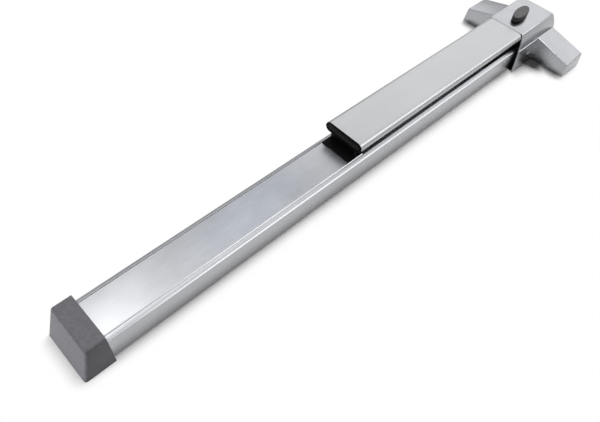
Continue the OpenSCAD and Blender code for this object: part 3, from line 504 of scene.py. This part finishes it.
def block(x0, x1, y0, y1, z0, z1):
    """A plain box used only as a cutter."""
    shape = bmesh.new()
    bmesh.ops.create_cube(shape, size=1.0)
    bmesh.ops.scale(shape, vec=mm(x1 - x0, y1 - y0, z1 - z0), verts=shape.verts)
    bmesh.ops.translate(shape, vec=mm((x0 + x1) / 2, (y0 + y1) / 2, (z0 + z1) / 2),
                        verts=shape.verts)
    return as_object("cutter", shape, BLACK_NYLON)


def drill(x, y, z, radius, depth, axis="Z", end_radius=None, sides=48):
    """A round cutter that starts at (x, y, z) and runs along an axis."""
    shape = bmesh.new()
    bmesh.ops.create_cone(shape, cap_ends=True, segments=sides, radius1=radius / 1000.0,
                          radius2=(radius if end_radius is None else end_radius) / 1000.0,
                          depth=depth / 1000.0)
    bmesh.ops.translate(shape, vec=mm(0, 0, depth / 2), verts=shape.verts)
    if axis == "Y":
        bmesh.ops.rotate(shape, matrix=Matrix.Rotation(-math.pi / 2, 3, "X"),
                         verts=shape.verts)
    bmesh.ops.translate(shape, vec=mm(x, y, z), verts=shape.verts)
    return as_object("cutter", shape, BLACK_NYLON)


def lathe(name, outline, x, y, material, steps=64):
    """A turned ring about a vertical axis, from (radius, z) points of its closed outline."""
    shape = bmesh.new()
    turns = [2 * math.pi * k / steps for k in range(steps)]
    rings = [[shape.verts.new(mm(x + radius * math.cos(a), y + radius * math.sin(a), z))
              for a in turns] for radius, z in outline]
    for i, lower in enumerate(rings):
        upper = rings[(i + 1) % len(rings)]
        for k in range(steps):
            shape.faces.new((lower[k], lower[(k + 1) % steps], upper[(k + 1) % steps], upper[k]))
    piece = as_object(name, shape, material)
    soften(piece)
    return piece


# Rail: the extruded channel with its two sloping rims
rail_low, rail_high = corners_of("rail")
plate_low, plate_high = corners_of("cover_plate")
rail_y, rim_top = rail_high.y, rail_high.z
rim_z, rail_wall, lip_y, lip = 37.0, 2.5, 19.0, 2.2
plate_y, plate_z = plate_high.y, plate_high.z
ledge = plate_low.z
half = [(rail_y, 0.0, 0.8), (rail_y, rim_z - 0.7, 0.6), (rail_y - 1.3, rim_z + 0.35, 0.6),
        (plate_y + 0.35, rim_top, 0.35),
        (plate_y + 0.2, ledge, 0.0), (lip_y, ledge, 0.4), (lip_y, ledge - lip, 0.4),
        (rail_y - rail_wall, ledge - lip, 0.6), (rail_y - rail_wall, rail_wall, 0.8)]
rail = drawn_bar("rail_extrusion", rounded(mirrored(half)), rail_low.x, rail_high.x,
                 RAIL_ALUMINIUM)
joint_x, joint_y, joint_r, countersink_r = -93.0, 20.0, 2.1, 4.1
rivet_x, rivet_y, rivet_r = (-408.0, -392.0, -158.0, -142.0), 16.0, 2.02
through = 5.0
for side in (-1, 1):
    combine(rail, drill(joint_x, joint_y * side, -0.01, countersink_r, 2.0, end_radius=joint_r),
            "DIFFERENCE")
    combine(rail, drill(joint_x, joint_y * side, -1, joint_r, through), "DIFFERENCE")
    for x in rivet_x:
        combine(rail, drill(x, rivet_y * side, -1, rivet_r, through, sides=24), "DIFFERENCE")
soften(rail)
finish(rail, "frame", "anodised_aluminium", "rail")

# Cover plate: the flat strip between the rims
half = [(plate_y, ledge, 0.2), (plate_y, plate_z - 0.95, 0.3), (plate_y - 1.2, plate_z, 0.3)]
plate = drawn_bar("cover_strip", rounded(mirrored(half)), plate_low.x, plate_high.x,
                  PLATE_ALUMINIUM)
peg_x, peg_y, peg_r = plate_high.x - 6.0, 15.0, 2.42
for side in (-1, 1):
    combine(plate, drill(peg_x, peg_y * side, ledge - 1, peg_r, through), "DIFFERENCE")
soften(plate)
finish(plate, "frame", "plate_aluminium", "cover_plate")

# Push pad: fully rounded long edges, open along its underside
pad_low, pad_high = corners_of("push_pad")
pad_round = (pad_high.z - pad_low.z) / 2
pad_mid_z, round_y = pad_low.z + pad_round, pad_high.y - pad_round
pad_wall, slot_y, slot_edge = 2.2, 23.2, 0.3
outer = arc(round_y, pad_mid_z, pad_round, -90, 90, 20) \
    + arc(-round_y, pad_mid_z, pad_round, 90, 270, 20)
inner = arc(-round_y, pad_mid_z, pad_round - pad_wall, 270, 90, 14) \
    + arc(round_y, pad_mid_z, pad_round - pad_wall, 90, -90, 14)
slot = [(slot_y, pad_low.z + pad_wall), (slot_y, pad_low.z + slot_edge),
        (slot_y + slot_edge, pad_low.z)]
section = outer + [(-y, z) for y, z in reversed(slot)] + inner + slot
pad = drawn_bar("push_pad_extrusion", section, pad_low.x, pad_high.x, PAD_ALUMINIUM)
soften(pad)
finish(pad, "pad", "pad_aluminium", "push_pad")


def pad_outline(x, inset, steps=20):
    """Outline of the pad's end at x, drawn in by inset."""
    radius = pad_round - inset
    ring = arc(round_y, pad_mid_z, radius, -90, 90, steps) \
        + arc(-round_y, pad_mid_z, radius, 90, 270, steps)
    return [mm(x, y, z) for y, z in ring]


# End plug: a rounded rim round a sunk band, with two ribs that grip inside the pad
front = corners_of("pad_end_plug")[0].x
rim_w, band_depth = 3.4, 0.9
rim_profile = [(pad_low.x, 0.0), (front + 0.7, 0.0), (front + 0.3, 0.12), (front + 0.08, 0.4),
               (front, 0.8), (front, rim_w - 0.9), (front + 0.08, rim_w - 0.5),
               (front + 0.3, rim_w - 0.2), (front + band_depth - 0.1, rim_w),
               (front + band_depth, rim_w + 0.15)]
end_plug = loft([pad_outline(x, inset) for x, inset in rim_profile], "pad_end_plug_rim",
                BLACK_NYLON)
end_plug.data.materials.append(GRAINED_NYLON)
rib_reach, rib_y, rib_length = pad_round - pad_wall - 0.05, slot_y + 0.5, 9.0
for side in (-1, 1):
    shape = bmesh.new()
    rib = [(rib_y, pad_mid_z - rib_reach)] + arc(round_y, pad_mid_z, rib_reach, -90, 90, 10) \
        + [(rib_y, pad_mid_z + rib_reach)]
    low = [shape.verts.new(mm(pad_low.x - 0.2, y * side, z)) for y, z in rib]
    high = [shape.verts.new(mm(pad_low.x + rib_length, y * side, z)) for y, z in rib]
    shape.faces.new(low)
    shape.faces.new(high)
    for i in range(len(rib)):
        shape.faces.new((low[i], low[(i + 1) % len(rib)], high[(i + 1) % len(rib)], high[i]))
    combine(end_plug, as_object("rib", shape, BLACK_NYLON), "UNION")
for face in end_plug.data.polygons:
    flat_band = abs(face.center.x - (front + band_depth) / 1000.0) < 2e-5
    face.material_index = 1 if flat_band and face.normal.x < -0.9 else 0
soften(end_plug, 40.0)
finish(end_plug, "pad", "black_plastic", "pad_end_plug")

# Moulded pips that roughen the sunk band of the plug
pip = bmesh.new()
pip_foot_r, pip_top_r, pip_height = 0.55, 0.3, 0.4
bmesh.ops.create_cone(pip, cap_ends=True, segments=8, radius1=pip_foot_r / 1000.0,
                      radius2=pip_top_r / 1000.0, depth=pip_height / 1000.0)
bmesh.ops.rotate(pip, matrix=Matrix.Rotation(-math.pi / 2, 3, "Y"), verts=pip.verts)
pip_part = as_object("pip_part", pip, GRAINED_NYLON)
field = bmesh.new()
pip_pitch, pip_rows = 1.7, 5
band_half = pad_round - rim_w - 0.7
for row in range(pip_rows):
    z = pad_mid_z + band_half * (2 * row / (pip_rows - 1) - 1)
    span = round_y + math.sqrt(max(band_half ** 2 - (z - pad_mid_z) ** 2, 0.0))
    count = int(2 * span / pip_pitch)
    for i in range(count + 1):
        y = -span + 2 * span * (i + 0.5 * (row % 2)) / (count + 0.5)
        field.verts.new(mm(front + band_depth - 0.1, y, z))
mesh = bpy.data.meshes.new("pips")
field.to_mesh(mesh)
field.free()
mesh.attributes.new("turn", "FLOAT_VECTOR", "POINT")
pips = new_object("pad_end_plug_pips", mesh, GRAINED_NYLON)
grow(pips, REPEAT, Part=pip_part, Finish=GRAINED_NYLON)
bpy.data.objects.remove(pip_part)
finish(pips, "pad", "black_plastic")

# End guide: foot, web and two gussets
guide = copy_of("end_guide", "end_guide_moulding", BLACK_NYLON, 0.5, 3)
finish(guide, "frame", "black_plastic", "end_guide")

# End cap: a drafted shell with rounded edges, open where it slips over the rail
cap_low, cap_high = corners_of("end_cap")
cap_foot_y, cap_top_y = cap_high.y, 33.85
cap_top_x, cap_wall, slip = -878.0, 3.0, 0.3
cap_planes = [(Vector((0, 0, cap_high.z)), Vector((0, 0, 1))),
              (Vector((cap_high.x, 0, 0)), Vector((1, 0, 0))),
              drafted(0, -1, (-cap_low.x, 0), (-cap_top_x, cap_high.z)),
              drafted(1, 1, (cap_foot_y, 0), (cap_top_y, cap_high.z)),
              drafted(1, -1, (cap_foot_y, 0), (cap_top_y, cap_high.z))]
shape = convex(cap_planes)
cap_round, mouth_round = 3.2, 0.6
round_off(shape, lambda e: not lies_on(e, 2, 0.0) and not lies_on(e, 0, cap_high.x), cap_round, 6)
round_off(shape, lambda e: lies_on(e, 0, cap_high.x) and not lies_on(e, 2, 0.0), mouth_round, 3)
cap = as_object("end_cap_moulding", shape, CAP_ABS)
combine(cap, as_object("hollow", convex(cap_planes, cap_wall), CAP_ABS), "DIFFERENCE")
window = [(-rail_y - slip, -5.0), (rail_y + slip, -5.0), (rail_y + slip, rim_z + slip),
          (plate_y, plate_z + slip), (-plate_y, plate_z + slip), (-rail_y - slip, rim_z + slip)]
combine(cap, drawn_bar("window", window, rail_low.x - 0.5, cap_high.x + 2, CAP_ABS),
        "DIFFERENCE")
soften(cap)
finish(cap, "frame", "grey_plastic", "end_cap")

# Head cover: raised body and sloping wings, rounded first and hollowed after
head_low, head_high = corners_of("head_cover")
shoulder_z, cover_wall = 40.0, 2.0
shoulder_y, ledge_y, foot_y, top_y = 37.5, 38.3, 41.5, 30.75
foot_x, shoulder_x, top_x = head_high.x, 24.6, 11.3
wing_foot_x, wing_root_x = 27.0, 24.2
wing_root, wing_tip = (36.5, shoulder_z), (101.9, 22.8)
head_ends = [drafted(0, 1, (foot_x, 0.0), (shoulder_x, shoulder_z)),
             drafted(0, 1, (shoulder_x, shoulder_z), (top_x, head_high.z))]
wing_planes = [(Vector((0, 0, shoulder_z)), Vector((0, 0, 1))), head_ends[0],
               drafted(0, -1, (wing_foot_x, 0.0), (wing_root_x, shoulder_z))]
for side in (-1, 1):
    wing_planes.append(drafted(1, side, (head_high.y, 0.0), wing_tip))
    wing_planes.append(drafted(1, side, wing_tip, wing_root))


def flank(inset):
    """Half section of the head, from its foot up its bowed side to the edge of the top face."""
    top = head_high.z - inset
    curve = [(foot_y - inset, -5.0 if inset else 0.0),
             (ledge_y - inset, shoulder_z - 0.6 - inset)]
    steps, end, power, edge = 10, 0.96, 2.2, 1.3
    for i in range(steps):
        share = end * i / (steps - 1)
        curve.append((top_y - inset + (shoulder_y - top_y) * (1 - share ** power),
                      shoulder_z - inset + (top - shoulder_z + inset) * share))
    return curve + arc(top_y - inset - edge, top - edge, edge, 25, 90, 5)


def head_solid(inset):
    """The raised body of the head, or the hollow inside it when inset is set."""
    bar = drawn_bar("body", mirrored(flank(inset)), head_low.x - (4.0 if inset else 0.0), 40.0,
                    SILVER_PAINT)
    shape = bmesh.new()
    shape.from_mesh(bar.data)
    bpy.data.objects.remove(bar)
    for point, normal in head_ends:
        slice_off(shape, point - normal * inset, normal)
    bmesh.ops.recalc_face_normals(shape, faces=shape.faces)
    if not inset:
        round_off(shape, lambda e: all(v.co.x > 0.009 and v.co.z > 0.0402 for v in e.verts)
                  and e.calc_face_angle(0.0) > math.radians(24), 1.7, 5)
        round_off(shape, lambda e: lies_on(e, 0, head_low.x) and not lies_on(e, 2, 0.0), 0.5, 3)
    return as_object("head_body", shape, SILVER_PAINT)


def wing_solid(inset):
    """Both wings as one solid through the head, or the hollow inside them when inset is set."""
    shape = convex(wing_planes, inset)
    if not inset:
        round_off(shape, lambda e: not lies_on(e, 2, 0.0)
                  and e.calc_face_angle(0.0) > math.radians(35), 1.9, 5)
    return as_object("head_wings", shape, SILVER_PAINT)


knob_low, knob_high = corners_of("dog_knob")
knob_x = corners_of("dog_spindle")[0].x + 4.0
screw_x, screw_z, screw_seat_y = -48.0, 19.5, 38.9
shank_hole_r, shank_hole_l, seat_r, seat_l, knob_hole_r = 2.2, 20, 3.6, 10, 6.7
# Openings in the head's end wall as (y0, y1, z0, z1): the bolt's and the plunger's
end_openings = ((-15, 15, 9, 31), (20.2, 29.2, 11, 25))
behind_end_wall, past_end_wall = 16.6, 30
cover = head_solid(0.0)
combine(cover, wing_solid(0.0), "UNION")
combine(cover, head_solid(cover_wall), "DIFFERENCE")
combine(cover, wing_solid(cover_wall), "DIFFERENCE")
for opening in end_openings:
    combine(cover, block(behind_end_wall, past_end_wall, *opening), "DIFFERENCE")
combine(cover, drill(knob_x, 0, head_high.z - 5, knob_hole_r, 8), "DIFFERENCE")
for side in (-1, 1):
    start = 30 if side > 0 else -30 - shank_hole_l
    combine(cover, drill(screw_x, start, screw_z, shank_hole_r, shank_hole_l, "Y"), "DIFFERENCE")
    seat = screw_seat_y if side > 0 else -screw_seat_y - seat_l
    combine(cover, drill(screw_x, seat, screw_z, seat_r, seat_l, "Y"), "DIFFERENCE")
cover.name = "head_cover_casting"
soften(cover, 30.0)
finish(cover, "frame", "silver_paint", "head_cover")

# Small cross-recessed screws of the cover, set on both sides
screw = bmesh.new()
turned = [(0.0, 1.9), (1.2, 1.85), (2.2, 1.6), (2.8, 1.2), (3.1, 0.7), (3.2, 0.1), (2.0, 0.05),
          (2.0, -7.0), (0.0, -7.0)]
screw_sides = 32
rows = []
for radius, along in turned:
    count = screw_sides if radius else 1
    rows.append([screw.verts.new(mm(radius * math.cos(2 * math.pi * k / count),
                                    radius * math.sin(2 * math.pi * k / count), along))
                 for k in range(count)])
for lower, upper in zip(rows, rows[1:]):
    for k in range(screw_sides):
        corner = [lower[k % len(lower)], lower[(k + 1) % len(lower)],
                  upper[(k + 1) % len(upper)], upper[k % len(upper)]]
        corner = list(dict.fromkeys(corner))
        if len(corner) > 2:
            screw.faces.new(corner)
screw_part = as_object("screw_part", screw, TURNED_STEEL)
arm_l, arm_w, recess_z = 2.0, 0.4, 0.9
for half_x, half_y in ((arm_l, arm_w), (arm_w, arm_l)):
    combine(screw_part, block(-half_x, half_x, -half_y, half_y, recess_z, 3), "DIFFERENCE")
seats = bpy.data.meshes.new("screw_seats")
seats.from_pydata([tuple(mm(screw_x, side * screw_seat_y, screw_z)) for side in (1, -1)], [], [])
turn = seats.attributes.new("turn", "FLOAT_VECTOR", "POINT")
turn.data[0].vector = (-math.pi / 2, 0.3, 0)
turn.data[1].vector = (math.pi / 2, -0.2, 0)
screws = new_object("cover_screw_heads", seats, TURNED_STEEL)
grow(screws, REPEAT, Part=screw_part, Finish=TURNED_STEEL)
bpy.data.objects.remove(screw_part)
soften(screws, 40.0)
finish(screws, "frame", "screw_steel", "cover_screws")

# Hold-back knob: a low oval, turned a little as it stands in its rest place
knob_half_l, knob_half_w, knob_turn = 23.7, 9.6, math.radians(7.0)


def oval(z, inset, steps=64):
    """The knob's outline at one height, drawn in by inset."""
    ring = []
    for k in range(steps):
        a = 2 * math.pi * k / steps
        x, y = (knob_half_l - inset) * math.cos(a), (knob_half_w - inset) * math.sin(a)
        ring.append(mm(knob_x + x * math.cos(knob_turn) - y * math.sin(knob_turn),
                       x * math.sin(knob_turn) + y * math.cos(knob_turn), z))
    return ring


low, top = knob_low.z, knob_high.z
knob_rows = [(low, 0.9), (low + 0.15, 0.5), (low + 0.6, 0.15), (low + 1.4, 0.0), (top - 1.9, 0.0),
             (top - 1.2, 0.1), (top - 0.65, 0.35), (top - 0.25, 0.8), (top - 0.05, 1.5), (top, 2.4)]
knob = loft([oval(z, inset) for z, inset in knob_rows], "hold_back_knob", KNOB_ACETAL)
soften(knob, 40.0)
finish(knob, "knob", "knob_plastic", "dog_knob")

sleeve_low, sleeve_high = corners_of("dog_collar")
collar_r, sleeve_r, bore = sleeve_high.x - knob_x, 6.6, 4.05
rim = head_high.z
collar = lathe("knob_collar", [(bore, sleeve_low.z), (sleeve_r, sleeve_low.z), (sleeve_r, rim),
                               (collar_r - 0.2, rim), (collar_r, rim + 0.2), (collar_r, rim + 0.6),
                               (collar_r - 0.15, rim + 0.85), (collar_r - 0.5, sleeve_high.z),
                               (bore, sleeve_high.z)], knob_x, 0, BLACK_NYLON)
finish(collar, "frame", "black_plastic", "dog_collar")

# Latch bolt and deadlatch plunger
bolt = copy_of("latch_bolt", "latch_bolt_ground", BOLT_STEEL, 0.6, 3)
finish(bolt, "bolt", "bolt_steel", "latch_bolt")
plunger = copy_of("deadlatch", "deadlatch_plunger", BOLT_STEEL, 0.6, 3)
finish(plunger, "plunger", "bolt_steel", "deadlatch")


# Wound springs
def springs(name, radius, wire, turns, length, places):
    """Springs of one kind as one piece, each moved to its place by a matrix."""
    shape = bmesh.new()
    for matrix in places:
        coil = new_object(name, bpy.data.meshes.new(name), SPRING_WIRE)
        grow(coil, COIL, Radius=radius / 1000, Wire=wire / 2000, Turns=float(turns),
             Length=(length - wire) / 1000, Finish=SPRING_WIRE)
        coil.data.transform(matrix @ Matrix.Translation(mm(0, 0, wire / 2)))
        shape.from_mesh(coil.data)
        bpy.data.objects.remove(coil)
    mesh = bpy.data.meshes.new(name)
    shape.to_mesh(mesh)
    shape.free()
    piece = new_object(name, mesh, SPRING_WIRE)
    piece.data.shade_smooth()
    return piece


def shorten(piece):
    """The springs stand on the frame and the joint's travel presses them along their axis; here the
    piece only gets its own copy of its mesh.
    """
    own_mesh(piece)


along_x = Matrix.Rotation(math.pi / 2, 4, "Y")
for letter in "ab":
    low, high = corners_of("pad_spring_" + letter)
    centre = (low + high) / 2
    piece = springs("pad_spring_wire_" + letter, radius=5.5, wire=1.4, turns=5,
                    length=high.z - low.z,
                    places=[Matrix.Translation(mm(centre.x, centre.y, low.z))])
    finish(piece, "frame", "spring_steel", "pad_spring_" + letter)
    shorten(piece)
low, high = corners_of("latch_springs")
coil_r, coil_wire, bolt_z = 2.7, 0.9, 20
coil_y = high.y - (coil_r + coil_wire / 2)
pair = springs("latch_spring_wire", radius=coil_r, wire=coil_wire, turns=6, length=high.x - low.x,
               places=[Matrix.Translation(mm(low.x, side * coil_y, bolt_z)) @ along_x
                       for side in (-1, 1)])
finish(pair, "frame", "spring_steel", "latch_springs")
shorten(pair)
low, high = corners_of("deadlatch_spring")
plunger_y, plunger_z = 24.7, 18
single = springs("deadlatch_spring_wire", radius=2.4, wire=0.8, turns=5, length=high.x - low.x,
                 places=[Matrix.Translation(mm(low.x, plunger_y, plunger_z)) @ along_x])
finish(single, "frame", "spring_steel", "deadlatch_spring")
shorten(single)


# Floor, light and camera
WHITE = "#FFFFFF"
HORIZON = "#AAAAAC"                   # the studio's walls near the ground
WALL_GREY, WALL_WHITE = 0.08, 0.42    # sine of the elevation at which the walls turn white
MATT_SHARE = 0.06                     # of the walls' light, for matt surfaces
MATT_EDGE = 0.03                      # metres from the bar in which the matt floor turns white
FADE_START, FADE_END = 1.0, 4.5       # metres from the bar in which white turns to HORIZON
FLOOR_REACH, FLOOR_DROP = 6.0, 0.0003    # metres
# What stands on the floor, in millimetres: the bar, the two wings and the head
FOOTPRINTS = ((-880, -23, 28, 23), (-24, -90, 28, 90), (-75, -58, 28, 58))


def seen_directly(tree):
    """1 for the rays of the camera, metal and glass, and 0 for the light on matt surfaces."""
    rays = add(tree, "ShaderNodeLightPath").outputs
    seen = rays["Is Camera Ray"]
    for kind in ("Is Glossy Ray", "Is Transmission Ray"):
        seen = add(tree, "ShaderNodeMath", {0: seen, 1: rays[kind]},
                   operation="MAXIMUM").outputs["Value"]
    first = add(tree, "ShaderNodeMath", {0: rays["Diffuse Depth"], 1: 0.5}, operation="LESS_THAN")
    return add(tree, "ShaderNodeMath", {0: seen, 1: first.outputs["Value"]},
               operation="MULTIPLY").outputs["Value"]


# Away from the bar the floor is plain white, and it fades into the grey of the studio's walls.
# Close to the bar it is a matt surface, which keeps the bar's shadow.
floor_material, tree, shader = start_material("pale_studio_floor", "#FCFCFC", 0.0, 0.9,
                                              Specular_IOR_Level=0.0)
place = add(tree, "ShaderNodeTexCoord").outputs["Object"]
gaps = []
for x0, y0, x1, y1 in FOOTPRINTS:
    inside = add(tree, "ShaderNodeVectorMath", {0: place, 1: mm(x0, y0, 0)}, operation="MAXIMUM")
    inside = add(tree, "ShaderNodeVectorMath", {0: inside.outputs["Vector"], 1: mm(x1, y1, 0)},
                 operation="MINIMUM")
    gaps.append(add(tree, "ShaderNodeVectorMath", {0: place, 1: inside.outputs["Vector"]},
                    operation="DISTANCE").outputs["Value"])
gap = gaps[0]
for other in gaps[1:]:
    gap = add(tree, "ShaderNodeMath", {0: gap, 1: other}, operation="MINIMUM").outputs["Value"]
open_floor = add(tree, "ShaderNodeMapRange", {"Value": gap, "From Min": 0.0, "From Max": MATT_EDGE},
                 interpolation_type="SMOOTHSTEP")
open_floor = add(tree, "ShaderNodeMath",
                 {0: open_floor.outputs["Result"], 1: seen_directly(tree)}, operation="MULTIPLY")
far = add(tree, "ShaderNodeMapRange", {"Value": gap, "From Min": FADE_START, "From Max": FADE_END},
          interpolation_type="SMOOTHSTEP")
shade = add(tree, "ShaderNodeMix",
            {"Factor": far.outputs["Result"], FIRST: linear(WHITE), SECOND: linear(HORIZON)},
            data_type="RGBA")
white = add(tree, "ShaderNodeEmission", {"Color": shade.outputs[MIXED]})
both = add(tree, "ShaderNodeMixShader", {"Fac": open_floor.outputs["Value"],
                                         1: shader.outputs["BSDF"], 2: white.outputs["Emission"]})
tree.links.new(both.outputs["Shader"], tree.nodes["Material Output"].inputs["Surface"])
flat = bpy.data.meshes.new("floor")
flat.from_pydata([(x * FLOOR_REACH, y * FLOOR_REACH, -FLOOR_DROP)
                  for x, y in ((-1, -1), (1, -1), (1, 1), (-1, 1))], [], [(0, 1, 2, 3)])
floor = new_object("studio_floor", flat, floor_material)

# The studio's walls fall off from white overhead to a pale grey near the ground. Metal and the
# camera see them at full strength, and matt surfaces get only a little of their light.
world = bpy.data.worlds.new("studio")
bpy.context.scene.world = world
world.use_nodes = True
tree = world.node_tree
background = tree.nodes["Background"]
sky = add(tree, "ShaderNodeTexCoord")
height = add(tree, "ShaderNodeSeparateXYZ", {"Vector": sky.outputs["Generated"]})
wall = add(tree, "ShaderNodeMapRange",
           {"Value": height.outputs["Z"], "From Min": WALL_GREY, "From Max": WALL_WHITE},
           interpolation_type="SMOOTHSTEP")
shade = add(tree, "ShaderNodeMix",
            {"Factor": wall.outputs["Result"], FIRST: linear(HORIZON), SECOND: linear(WHITE)},
            data_type="RGBA")
tree.links.new(shade.outputs[MIXED], background.inputs["Color"])
level = add(tree, "ShaderNodeMapRange",
            {"Value": seen_directly(tree), "To Min": MATT_SHARE, "To Max": 1.0})
tree.links.new(level.outputs["Result"], background.inputs["Strength"])


def softbox(name, azimuth, elevation, distance, size, light, target=(-400, 0, 0)):
    """A studio lamp aimed at target (mm), seen by matt surfaces only.

    Azimuth 0 is +X and 90 is +Y. light is the level it gives a white card that faces it, where 1
    renders as white; size is (width, height) and, like distance, in metres.
    """
    lamp = bpy.data.lights.new(name, "AREA")
    lamp.shape = "RECTANGLE"
    lamp.size, lamp.size_y = size
    lamp.energy = light * math.pi * math.pi * distance ** 2
    a, e = math.radians(azimuth), math.radians(elevation)
    way = Vector((math.cos(e) * math.cos(a), math.cos(e) * math.sin(a), math.sin(e)))
    holder = bpy.data.objects.new(name, lamp)
    bpy.context.scene.collection.objects.link(holder)
    holder.location = mm(*target) + way * distance
    holder.rotation_euler = way.to_track_quat("Z", "Y").to_euler()
    holder.visible_camera = False
    holder.visible_glossy = False
    return holder


def reflector(name, azimuth, elevation, distance, size, brightness, target=(-400, 0, 0),
              colour=(1.0, 1.0, 1.0)):
    """A panel that only shows as a sheen in metal, on top of the studio wall behind it, which is 1.

    It throws no patches of light from the metal on to the floor.
    """
    light = brightness * size[0] * size[1] / (math.pi * distance ** 2)
    holder = softbox(name, azimuth, elevation, distance, size, light, target)
    holder.data.color = colour
    holder.data.use_nodes = True
    tree = holder.data.node_tree
    rays = add(tree, "ShaderNodeLightPath")
    first = add(tree, "ShaderNodeMath", {0: rays.outputs["Diffuse Depth"], 1: 0.5},
                operation="LESS_THAN")
    tree.links.new(first.outputs["Value"], tree.nodes["Emission"].inputs["Strength"])
    holder.visible_glossy = True
    holder.visible_diffuse = False
    return holder


softbox("key_softbox", 12, 44, 4.0, (1.6, 1.6), 1.4)
end_lamp = softbox("end_softbox", 172, 10, 0.5, (0.15, 0.15), 0.14, target=(-890, 0, 25))
end_lamp.data.spread = math.radians(60)
# The long sheen of the strip, the bright line along the pad's edge, then single faces
reflector("far_panel", 16, 30, 2.45, (3.0, 2.1), 0.62, target=(-200, 0, 50))
reflector("edge_panel", -90, 40, 1.7, (2.8, 1.0), 1.8, target=(900, 0, 0))
reflector("rim_panel", -60, 58, 2.0, (1.4, 0.6), 0.1)
reflector("crease_panel", 192, 60, 2.0, (0.6, 0.6), 4.0, target=(-30, -70, 35))
reflector("cap_panel", 86, 65, 2.0, (0.7, 0.7), 2.6, target=(-860, 0, 40))
reflector("zenith_panel", 0, 89.9, 1.93, (0.9, 1.6), 1.7, target=(-500, 50, 40))
# A tinted window, which leaves a bluish sheen on the middle of the strip
reflector("window_panel", 49, 53, 2.0, (0.45, 0.45), 0.45, target=(-650, 0, 40),
          colour=(0.1, 0.4, 1.0))

camera_data = bpy.data.cameras.new("photo_camera")
sensor, focal_px, photo_px = 36.0, 569.5, 600.0
camera_data.sensor_width = sensor
camera_data.lens = sensor * focal_px / photo_px
camera_data.clip_start = 0.01
camera = bpy.data.objects.new("photo_camera", camera_data)
bpy.context.scene.collection.objects.link(camera)
# Where the photograph was taken from, worked out from its outlines
right = Vector((0.719167, -0.690726, 0.075479))
down = Vector((-0.517783, -0.605181, -0.604696))
forward = Vector((0.463357, 0.395796, -0.792872))
camera.matrix_world = Matrix.Translation((-0.91288, -0.31767, 0.59585)) @ \
    Matrix((right, -down, -forward)).transposed().to_4x4()
bpy.context.scene.camera = camera
bpy.context.scene.view_settings.view_transform = "Standard"
